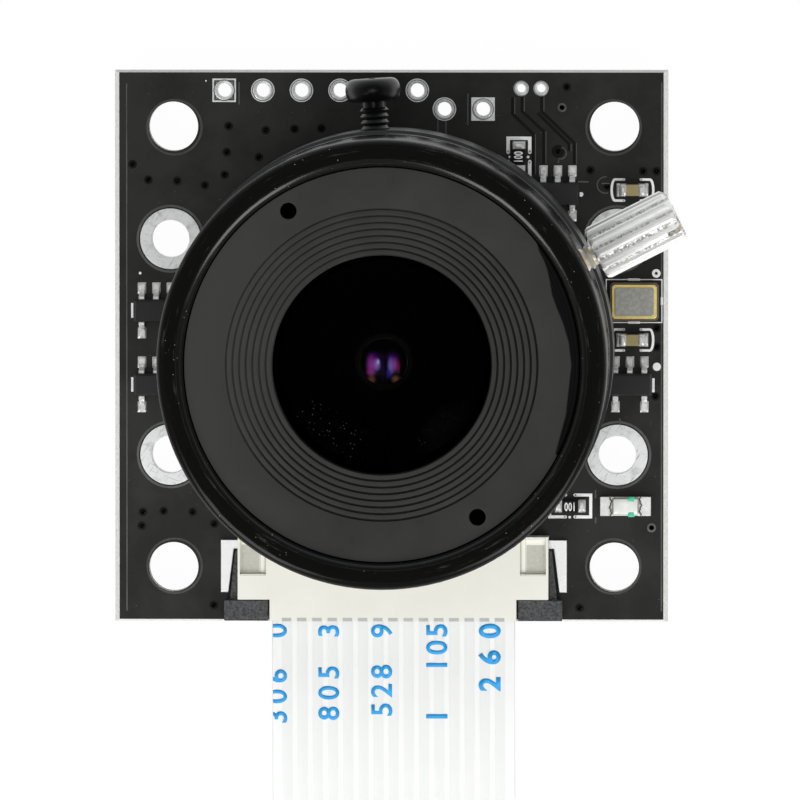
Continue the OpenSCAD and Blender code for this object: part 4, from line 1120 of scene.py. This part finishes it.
@dataclass
class FlatCable(Assembly):
    """Flat white cable with printed numbers, its stiffeners and bare contact strips.

    The route gives, for each place along the cable, the share of its whole fall. The columns
    of print give X, text, Y, pitch of the figures and boldness.
    """

    start_y: float = -13.6
    high_z: float = 2.48
    low_z: float = -1.10
    width: float = 16.0
    thickness: float = 0.3
    route: tuple[Spot, ...] = (
        (0, 0), (2, 0), (5, 0), (8, 0.02), (11, 0.09), (14, 0.21), (17, 0.37), (20, 0.55), (23, 0.73),
        (26, 0.87), (29, 0.96), (32, 1), *((place, 1) for place in range(40, 150, 10)), (149.7, 1))
    columns: tuple[tuple[float, str, float, float, float], ...] = (
        (-7.62, "0", -18.65, 1.35, 0.03), (-7.62, "306", -23.0, 1.35, 0.03), (-4.19, "3", -18.65, 1.35, 0.03),
        (-4.19, "805", -22.75, 1.36, 0.03), (-0.70, "9", -18.65, 1.35, 0.03),
        (-0.70, "528", -22.6, 1.25, 0.03), (2.92, "105", -19.75, 1.15, 0.035),
        (2.92, "1", -24.3, 1.3, 0.05), (6.41, "260", -20.4, 1.75, 0.06))
    figure_size: float = 1.92
    repeats: tuple[float, ...] = (0.0, -27.0, -54.0, -81.0)
    ink: float = 0.012

    def line(self) -> np.ndarray:
        """Middle line of the cable: straight along -Y, its height falling by the share at each place."""
        along, share = np.array(self.route).T
        height = self.high_z - (self.high_z - self.low_z) * share
        return np.stack([0 * along, self.start_y - along, height], axis=1)

    def film(self) -> Piece:
        """Makes the cable: a flat section with rounded edges carried along the middle line.

        At each place the section stands square to the line's direction, so its normal is the
        direction turned a quarter about X. Its thickness swells a little over each conductor.

        Returns:
            The cable.
        """
        line = self.line()
        ahead = unit(np.gradient(line, axis=0))
        normal = np.stack([0 * ahead[:, 0], ahead[:, 2], -ahead[:, 1]], axis=1)
        half, skin = self.width / 2, self.thickness / 2
        across = np.linspace(-half + 0.08, half - 0.08, 129)
        ripple = skin * (0.88 + 0.12 * np.clip(1.6 * np.cos(2 * np.pi * across), -1, 1))
        edge = np.array([[half - 0.03, skin * 0.6], [half, 0.0], [half - 0.03, -skin * 0.6]])
        ring = np.vstack([np.stack([across, ripple], 1), edge, np.stack([across, -ripple], 1)[::-1], -edge])
        bag = Bag("cable_film")
        level = ring[None, :, :1] * np.array([1.0, 0, 0])
        bag.loft(line[:, None, :] + level + ring[None, :, 1:] * normal[:, None, :])
        piece = bag.build()
        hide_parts("flat_cable")
        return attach(piece, "module")

    def print(self) -> Piece:
        """Makes the blue numbers that read along the cable, laid on its top.

        Each figure is turned a quarter so that it reads away from the board, and each of its
        points goes up to the cable's surface at that place.

        Returns:
            The numbers as one piece.
        """
        line = self.line()
        bag = Bag("cable_figures")
        for repeat in self.repeats:
            for x, text, middle, pitch, bold in self.columns:
                for place, figure in enumerate(text):
                    flat, *faces = outline(figure, self.figure_size, bold)
                    px = x - flat[:, 1]
                    py = middle + repeat + (place - (len(text) - 1) / 2) * pitch + flat[:, 0]
                    pz = np.interp(-py, -line[:, 1], line[:, 2]) + self.thickness / 2
                    bag.add(np.stack([px, py, pz], axis=1), *faces)
        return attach(bag.inked(self.ink, 0.06 - self.width / 2), "module")

    def make(self) -> None:
        """Builds and dresses the cable."""
        piece = self.dress(self.film(), "cable_white", "cable_white")
        figures = self.dress(self.print(), "cable_ink", "cable_white")
        self.bare("stiffener_blue", "inner_stiffener", "end_stiffener")
        self.bare("contact_tin", "end_contacts")
        (self.line() * MM).tolist()


@dataclass
class Board(Assembly):
    """Circuit board with its lands, pads, printed marks, covered tracks and covered holes.

    Pads give X, Y and the hole's radius. Brackets give their middle, half sizes, open length in
    the long sides, width of the line, and how far the end's middle stands beyond its corners.
    Marks and arcs give a width last; an arc's others are the points before it, its middle,
    radius, first and last angle, and steps.
    """

    ink: float = 0.035
    mask: float = 0.02
    dip: float = 0.012
    crest: float = 0.01
    holes: Spot = (14.5, 14.5)
    hole_r: float = 1.625
    lands: Spot = (14.7, 7.1)
    land_r: float = 2.0
    pads: tuple[tuple[float, float, float], ...] = (
        *((-11.16 + 2.54 * place, 16.87, 0.525) for place in range(6)), (3.32, 15.64, 0.525),
        (5.86, 15.64, 0.525), (8.37, 17.0, 0.35), (9.67, 17.0, 0.35))
    vias: tuple[Spot, ...] = (
        (-10.87, 14.51), (-8.43, 14.24), (-6.54, 14.33), (-4.77, 14.37), (-11.0, 12.8), (-8.88, 12.47),
        (-17.2, 12.0), (-16.16, 10.98), (-14.26, 10.91), (-12.44, 10.62), (-11.14, 11.31), (-16.53, -10.9),
        (-15.16, -10.83), (-13.26, -10.9), (-16.6, -11.81), (-11.83, -11.68), (-11.87, -17.04),
        (10.79, 12.87), (12.92, 11.62), (16.38, 11.56), (17.27, 11.56), (14.05, 10.57), (12.22, -17.18),
        (11.36, 17.1), (17.29, 1.24), (17.29, 0.01), (17.2, -3.24))
    open_vias: tuple[Spot, ...] = ((11.05, 15.75), (16.95, -11.89))
    tracks: tuple[tuple[Spot, ...], ...] = (
        ((7.94, 16.41), (7.94, 15.32), (9.30, 14.01), (9.30, 11.38)),
        ((8.57, 16.48), (8.57, 15.49), (9.99, 14.18), (9.99, 12.04)),
        ((9.86, 16.48), (9.86, 15.49), (12.0, 13.42), (12.0, 12.04)),
        ((9.59, 15.39), (11.65, 13.35), (11.65, 12.9)))
    ridges: tuple[tuple[Spot, Spot], ...] = (
        ((-17.58, 17.3), (-17.58, -17.4)), ((17.6, 17.4), (17.6, -17.4)), ((12.08, 10.87), (12.8, 10.87)),
        ((13.67, 10.76), (14.18, 10.76)), ((2.89, 14.9), (2.89, 13.9)), ((3.42, 15.0), (3.42, 13.5)),
        ((4.86, 16.66), (4.86, 14.6)), ((-10.18, 17.4), (-10.18, 15.93)), ((13.27, -9.4), (13.27, -9.95)),
        ((13.27, -11.2), (13.27, -11.6)), ((14.86, -4.7), (14.86, -5.4)))
    arcs: tuple[tuple[Any, ...], ...] = (
        ((), 13.9, 10.66, 0.54, 80, 290, 15, 0.07), (((10.8, 12.1),), 10.95, 12.75, 0.38, -105, 80, 12, 0.08))
    brackets: tuple[tuple[float, float, Spot, float, float, float], ...] = (
        (8.22, 12.5, (0.71, 1.225), 0.62, 0.23, 0.0), (11.6, -10.46, (1.35, 0.72), 0.62, 0.2, 0.0),
        (15.68, 10.33, (1.37, 0.69), 1.1, 0.16, 0.22), (15.68, 0.47, (1.37, 0.69), 1.1, 0.16, 0.22))
    oscillator: tuple[Spot, Spot] = ((15.79, 3.03), (1.83, 1.41))
    marks: tuple[tuple[tuple[Spot, Spot], float], ...] = (
        (((17.06, -2.05), (17.06, -2.97)), 0.17), (((-17.22, 1.9), (-17.22, 2.87)), 0.15),
        (((-17.22, -2.97), (-17.22, -2.02)), 0.15))
    dots: tuple[tuple[float, float, float], ...] = (
        (17.29, -1.29, 0.27), (-16.7, 4.84, 0.09), (12.3, 10.04, 0.15), (-12.36, 17.49, 0.05),
        (11.57, -11.2, 0.09), (7.6, 12.5, 0.08), (8.82, 12.5, 0.09))

    @staticmethod
    def four(place: Spot) -> list[Spot]:
        """The four places at plus and minus X and Y."""
        return [(x, y) for y in (place[1], -place[1]) for x in (-place[0], place[0])]

    def bracket(self, bag: Bag, x: float, y: float, half: Spot, gap: float, width: float,
                bulge: float) -> None:
        """Adds the two facing brackets printed round a small part, with round ends.

        A bulging end is half a wave: its corner's place plus the bulge times the sine of the turn.

        Args:
            bag: Where the lines go.
            x: Middle of the part.
            y: Middle of the part.
            half: Half the bracket's length and half its height.
            gap: Open length in the middle of the long sides.
            width: Width of the line.
            bulge: How far the end's middle stands beyond its corners.
        """
        upright = half[1] > half[0]
        short, corner = min(half), max(half) - bulge
        turn = np.linspace(0.35, 2.79, 7) if bulge else np.empty(0)
        end = [(corner, short), *zip(corner + bulge * np.sin(turn), short * np.cos(turn)), (corner, -short)]
        for side in (-1, 1):
            points = [(gap / 2 * side, short), *((u * side, v) for u, v in end), (gap / 2 * side, -short)]
            line = [(x + v, y + u) if upright else (x + u, y + v) for u, v in points]
            bag.stroke(line, width, self.ink)
            for tip in (line[0], line[-1]):
                bag.dot(*tip, width / 2, self.ink)

    def printing(self) -> None:
        """Makes every white mark on the board as one raised layer of ink."""
        bag = Bag("board_marks")
        for bracket in self.brackets:
            self.bracket(bag, *bracket)
        (x, y), half = self.oscillator
        bag.rectangle(x, y, half, 0.07, self.ink)
        for side in (-1, 1):
            top, end = y - side * half[1], x + side * half[0]
            bag.stroke([(x - 0.4, top), (x + 0.4, top)], 0.15, self.ink + self.crest)
            bag.stroke([(end, y - 0.25), (end, y + 0.25)], 0.15, self.ink + self.crest)
        bag.dot(17.25, 4.85, 0.285, self.ink, 0.1)
        for line, width in self.marks:
            bag.stroke(line, width, self.ink)
        for dot in self.dots:
            bag.dot(*dot, self.ink)
        self.carry(bag.build(10.0), "board_ink", "board_black")

    def light_ridges(self) -> None:
        """Makes the edges of covered copper that catch the light: beside tracks, round holes and lands."""
        bag = Bag("light_ridges")
        crest = self.mask + self.crest
        for track in self.tracks:
            for start, end in zip(track, track[1:]):
                if start[0] == end[0]:
                    bag.stroke((start, end), 0.065, crest)
        for ridge in self.ridges:
            bag.stroke(ridge, 0.09, self.mask)
        for lead, x, y, radius, first, last, steps, width in self.arcs:
            turn = np.radians(np.linspace(first, last, steps))
            line = [*lead, *zip(x + radius * np.cos(turn), y + radius * np.sin(turn))]
            bag.stroke(line, width, self.mask)
        for x, y in self.four(self.lands):
            bag.dot(x, y, self.land_r + 0.24, self.mask, self.land_r + 0.17)
        for x, y in self.open_vias:
            bag.dot(x, y, 0.3, crest, 0.17)
        for x, y in self.vias:
            bag.dot(x - 0.03, y + 0.03, 0.02, crest)
            bag.dot(x + 0.09, y - 0.05, 0.015, crest)
        self.carry(bag.build(), "track_light", "board_black")

    def low_layers(self) -> None:
        """Makes the low layers of mask, which carry painted light and shade.

        A painted highlight on the mask round the screw holes lies towards the board's middle; painted
        shade lies beside tracks, round lands and over the covered holes; the holes' middles are painted
        black shade.
        """
        rim_highlights, shades, middles = Bag("soft_rims"), Bag("mask_shades"), Bag("hole_dips")
        # painted highlight: paler mask rings round the screw holes, shifted towards the board's middle
        for x, y in self.four(self.holes):
            x, y = x - 0.06 * np.sign(x), y - 0.06 * np.sign(y)
            rim_highlights.dot(x, y, self.hole_r + 0.24, self.mask, self.hole_r + 0.1)
        # painted shade: dark bands beside tracks, round lands and round the covered holes
        for track in self.tracks:
            shades.stroke([(x - 0.14, y) for x, y in track], 0.2, self.dip)
        for x, y in self.four(self.lands):
            shades.dot(x, y, self.land_r + 0.15, self.dip, self.land_r)
        for x, y in self.vias:
            shades.dot(x, y, 0.29, self.dip)
        shades.dot(10.79, 12.87, 0.42, self.dip - 0.002)
        # painted shade: black middles of the holes
        for x, y in self.vias + self.open_vias:
            middles.dot(x, y, 0.15, self.dip + 0.004)
        for layer, finish in ((rim_highlights, "rim_mask"), (shades, "track_shade"), (middles, "via_black")):
            self.carry(layer.build(), finish, "board_black")

    def pad_rims(self, name: str, finish: str, inner: float, outer: float, rise: float,
                 corners: float = 0.0) -> None:
        """Makes one raised ring in every pad: solder partly painted as a highlight, or a ring of painted
        shade.

        Its section is half a wave: its height is the rise times the sine of the way across.

        Args:
            name: The piece's name.
            finish: Its finish.
            inner: Its inner radius beyond the pad's hole.
            outer: Its outer radius beyond the pad's hole.
            rise: How far its crown stands above the pad.
            corners: Width of a frame of painted shade in the corners of the first pad, which is square.
        """
        bag = Bag(name)
        lean = np.linspace(0, np.pi, 7)
        for x, y, hole in self.pads:
            share = hole / self.pads[0][2]
            near, away = hole + inner * share, hole + outer * share
            radius = (near + away) / 2 - (away - near) / 2 * np.cos(lean)
            crown = np.stack([radius, TOP + 0.055 + rise * np.sin(lean)], axis=1)
            bag.turned([*crown, (away, TOP), (near, TOP)], 40, x, y, True)
        if corners:
            bag.rectangle(*self.pads[0][:2], (0.6, 0.6), corners, 0.065)
        self.carry(bag.build(60.0), finish, "tinned_pads")

    def make(self) -> None:
        """Builds and dresses the board."""
        self.bare("board_black", "circuit_board")
        self.ease(("mounting_lands", "lands", 0.03, "tinned_pads"),
                  ("header_pads", "pads", 0.03, "tinned_pads"))
        self.printing()
        self.light_ridges()
        self.low_layers()
        # painted highlight: bright solder rings round the holes
        self.pad_rims("pad_inner_rims", "pad_bright", 0.004, 0.125, 0.04)
        # painted shade: a dark ring outside the bright one, and a dark frame in the square pad's corners
        self.pad_rims("pad_outer_rims", "pad_shade", 0.13, 0.185, 0.012, 0.2)


@dataclass
class SmallParts(Assembly):
    """Chips, capacitors, resistors, oscillator and lamp, with their solder.

    Chips give their middle and the places of the leads above and below; resistors give their
    middle, turn and number.
    """

    chips: tuple[tuple[float, float, tuple[float, ...], tuple[float, ...]], ...] = (
        (15.52, -2.45, (-0.95, 0.0, 0.95), (-0.95, 0.95)), (-15.63, 2.38, (-0.95, 0.0, 0.95), (-0.95, 0.95)),
        (-15.63, -2.49, (-0.95, 0.0, 0.95), (-0.95, 0.95)), (10.78, 10.1, (-0.95, 0.0, 0.95),
        (-0.95, 0.0, 0.95)))
    capacitors: tuple[Spot, ...] = ((15.68, 10.33), (15.68, 0.47))
    capacitor_h: float = 0.8
    resistors: tuple[tuple[float, float, int, str], ...] = (
        (8.22, 12.5, 90, "100"), (11.6, -10.46, 180, "100"))
    resistor_h: float = 0.47
    led: Spot = (15.24, -10.47)
    plan: tuple[tuple[str, float, str], ...] = (
        ("regulator_bodies", 0.06, "chip_black"), ("logic_chip_body", 0.06, "chip_black"),
        ("regulator_leads", 0.05, "lead_tin"), ("logic_chip_leads", 0.05, "lead_tin"),
        ("capacitor_bodies", 0.04, "capacitor_tan"), ("capacitor_ends", 0.08, "lead_tin"),
        ("resistor_bodies", 0.03, "resistor_black"), ("resistor_ends", 0.05, "lead_tin"),
        ("oscillator_base", 0.04, "oscillator_ceramic"), ("oscillator_seal_ring", 0.03, "seal_gold"),
        ("oscillator_lid", 0.05, "lid_steel"), ("led_base", 0.03, "led_white"),
        ("led_ends", 0.04, "lead_tin"))

    def solder(self) -> None:
        """Makes the flat solder round each lead, and the fillets at the ends of the capacitors."""
        bag = Bag("solder")
        for x, y, upper, lower in self.chips:
            for side, row in ((1, upper), (-1, lower)):
                for dx in row:
                    bag.pillow(x + dx, y + side * 1.47, (0.28, 0.37), 0.07, 0.25)
        for x, y in self.capacitors:
            for side in (-1, 1):
                bag.pillow(x + side * 0.925, y, (0.125, 0.44), 0.15, 0.5)
        self.carry(bag.build(60.0), "solder", "lead_tin")

    def caps(self) -> None:
        """Makes the plated ends of the capacitors and resistors, rounded over like short barrels."""
        bag = Bag("capacitor_caps")
        for side in (-1, 1):
            for x, y in self.capacitors:
                bag.pillow(x + side * 0.595, y, (0.235, 0.43), self.capacitor_h + 0.05, 0.16)
            for x, y, turn, _ in self.resistors:
                upright = turn == 90
                spot = (x, y + side * 0.775) if upright else (x + side * 0.775, y)
                half = (0.43, 0.255) if upright else (0.255, 0.43)
                bag.pillow(*spot, half, self.resistor_h + 0.05, 0.2)
        self.carry(bag.build(70.0), "lead_tin", "lead_tin")

    def values(self) -> None:
        """Prints plain numbers on the resistors, each turned as its resistor lies."""
        bag = Bag("resistor_numbers")
        for x, y, turn, text in self.resistors:
            cos, sin = math.cos(math.radians(turn)), math.sin(math.radians(turn))
            for place, figure in enumerate(text):
                flat, *faces = outline(figure, 0.78, 0.02)
                u, v = flat[:, 0] * 0.62 + (place - (len(text) - 1) / 2) * 0.26, flat[:, 1]
                height = 0 * u + TOP + self.resistor_h + 0.008
                bag.add(np.stack([x + u * cos - v * sin, y + u * sin + v * cos, height], axis=1), *faces)
        self.carry(bag.inked(0.01), "board_ink", "resistor_black")

    def lamp(self) -> None:
        """Builds and dresses the lamp's clear cap, its two green marks and the wavy seams at its ends."""
        x, y = self.led
        cap, marks, seams = Bag("led_cap"), Bag("led_marks"), Bag("led_seams")
        cap.pillow(x, y, (0.93, 0.6), 0.82, 0.12, 0.2)
        along = np.linspace(-0.6, 0.6, 25)
        for side in (-1, 1):
            marks.pillow(x + 0.38, y + side * 0.5, (0.21, 0.17), 0.14, 0.3, 0.9)
            wave = 0.05 * np.sin(along * 9 + side) + 0.03 * np.sin(along * 23)
            seams.stroke(zip(x + side * 0.98 + wave, y + along), 0.09, 0.56, 0.3)
        piece = cap.build(60.0)
        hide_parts("led_lens")
        self.carry(piece, "led_clear", "led_clear")
        self.carry(marks.build(60.0), "led_green", "led_clear")
        self.carry(seams.build(), "led_seam", "led_clear")

    def make(self) -> None:
        """Builds and dresses the small parts."""
        self.ease(*((node, node + "_piece", width, finish) for node, width, finish in self.plan))
        self.solder()
        self.caps()
        self.values()
        self.lamp()


@dataclass
class Lens(Assembly):
    """Threaded mount, lens barrels, grooved face ring and the glass."""

    clear_r: float = 6.95
    back_r: float = 6.5
    dome: float = 22.0
    thick: float = 1.2
    pupil_r: float = 1.5
    pupil_dome: float = 2.6
    pupil_proud: float = 0.1

    @staticmethod
    def sag(bow: float, radius: np.ndarray) -> np.ndarray:
        """Fall of a dome from its crown: its bow less the root of the bow squared less the radius squared."""
        return bow - np.sqrt(bow ** 2 - radius ** 2)

    def turned(self, name: str, node: str, finish: str, slot: str, profile: Sequence[Spot], turns: int = 96,
               closed: bool = False) -> None:
        """Makes a turned piece that rides with a solid, and stands for it unless it is a closed ring.

        Args:
            name: The piece's name.
            node: Name of the solid.
            finish: The piece's finish.
            slot: Name of the record's material slot; handed to dress, which doesn't use it.
            profile: Radius and height of each point of the section.
            turns: How many angles the full turn is cut into.
            closed: Whether the profile closes on itself.
        """
        bag = Bag(name)
        bag.turned(profile, turns, closed=closed)
        piece = bag.build()
        if not closed:
            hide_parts(node)
        self.dress(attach(piece, BODY_OF[node]), finish, slot)

    def glass(self) -> None:
        """Makes the front lens: a smooth dome over a hollow back, as one turned section."""
        low, high = span("front_element")
        radius, back = np.linspace(0, self.clear_r, 25), np.linspace(self.back_r, 0, 25)
        front = list(zip(radius, high[2] - self.sag(self.dome, radius)))
        rear = zip(back, high[2] - self.thick - self.sag(self.dome - self.thick, back))
        profile = [*front, (high[0], front[-1][1]), (high[0], low[2]), (self.back_r, low[2]), *rear]
        self.turned("front_glass_piece", "front_element", "front_glass", "front_glass", profile, 192)

    def pupil(self) -> None:
        """Makes the small second lens, a tight dome, and its black seat with two low rings."""
        low, high = span("second_element")
        radius = np.linspace(0, self.pupil_r, 20)
        dome = zip(radius, high[2] + self.pupil_proud - self.sag(self.pupil_dome, radius))
        profile = [*dome, (self.pupil_r, low[2]), (0.0, low[2])]
        self.turned("pupil", "second_element", "coated_glass", "coated_glass", profile)
        top = high[2] + self.pupil_proud - 0.42
        profile = [(1.52, low[2]), (1.95, low[2]), (1.95, top - 0.06), (1.9, top - 0.02), (1.66, top - 0.02),
                   (1.62, top - 0.1), (1.52, top - 0.1)]
        self.turned("pupil_seat", "second_element", "seat_black", "inner_black", profile, closed=True)

    def make(self) -> None:
        """Builds and dresses the lens."""
        self.ease(("lens_mount", "mount", 0.12, "anodised_black"),
                  ("rear_barrel", "rear_barrel_piece", 0.1, "anodised_black"),
                  ("focus_barrel", "barrel", 0.06, "barrel_black"), ("face_ring", "face", 0.03, "face_grey"))
        self.bare("inner_black", "lens_cell", "aperture_stop", "front_spacer", "rear_spacer", "rear_retainer")
        self.bare("cover_glass", "middle_element", "rear_element", "sensor_glass")
        self.bare("sensor_dark", "image_sensor")
        self.bare("filter_glass", "infrared_filter")
        self.glass()
        self.pupil()
        self.ease(("mount_screws", "rear_screws", 0.06, "black_screw"))


@dataclass
class LockScrews(Assembly):
    """Black lock screw of the mount and bright thumb screw of the focus."""

    def make(self) -> None:
        """Builds and dresses the screws."""
        self.ease(("mount_lock_screw", "lock_screw_piece", 0.05, "black_screw"),
                  ("focus_lock_screw", "thumb_screw_piece", 0.05, "nickel_screw"))


@dataclass
class Connector(Assembly):
    """Cream housing, black latch, side tabs and contacts of the cable's socket."""

    def make(self) -> None:
        """Builds and dresses the connector."""
        self.ease(("connector_housing", "housing", 0.05, "connector_cream"),
                  ("connector_latch", "latch_piece", 0.04, "latch_black"),
                  ("connector_tabs", "tabs", 0.04, "tinned_tab"))
        self.bare("contact_gold", "connector_contacts")


def main() -> None:
    """Builds the studio and every sub-assembly."""
    logging.basicConfig(level=logging.INFO, format="%(message)s")
    Studio().make()
    materials = {finish.name: finish.make() for finish in PLAIN + SPECIAL}
    for part in (FlatCable, Board, SmallParts, Lens, LockScrews, Connector):
        LOG.info("%s", part.__name__)
        part(materials).make()


if __name__ == "__main__":
    main()
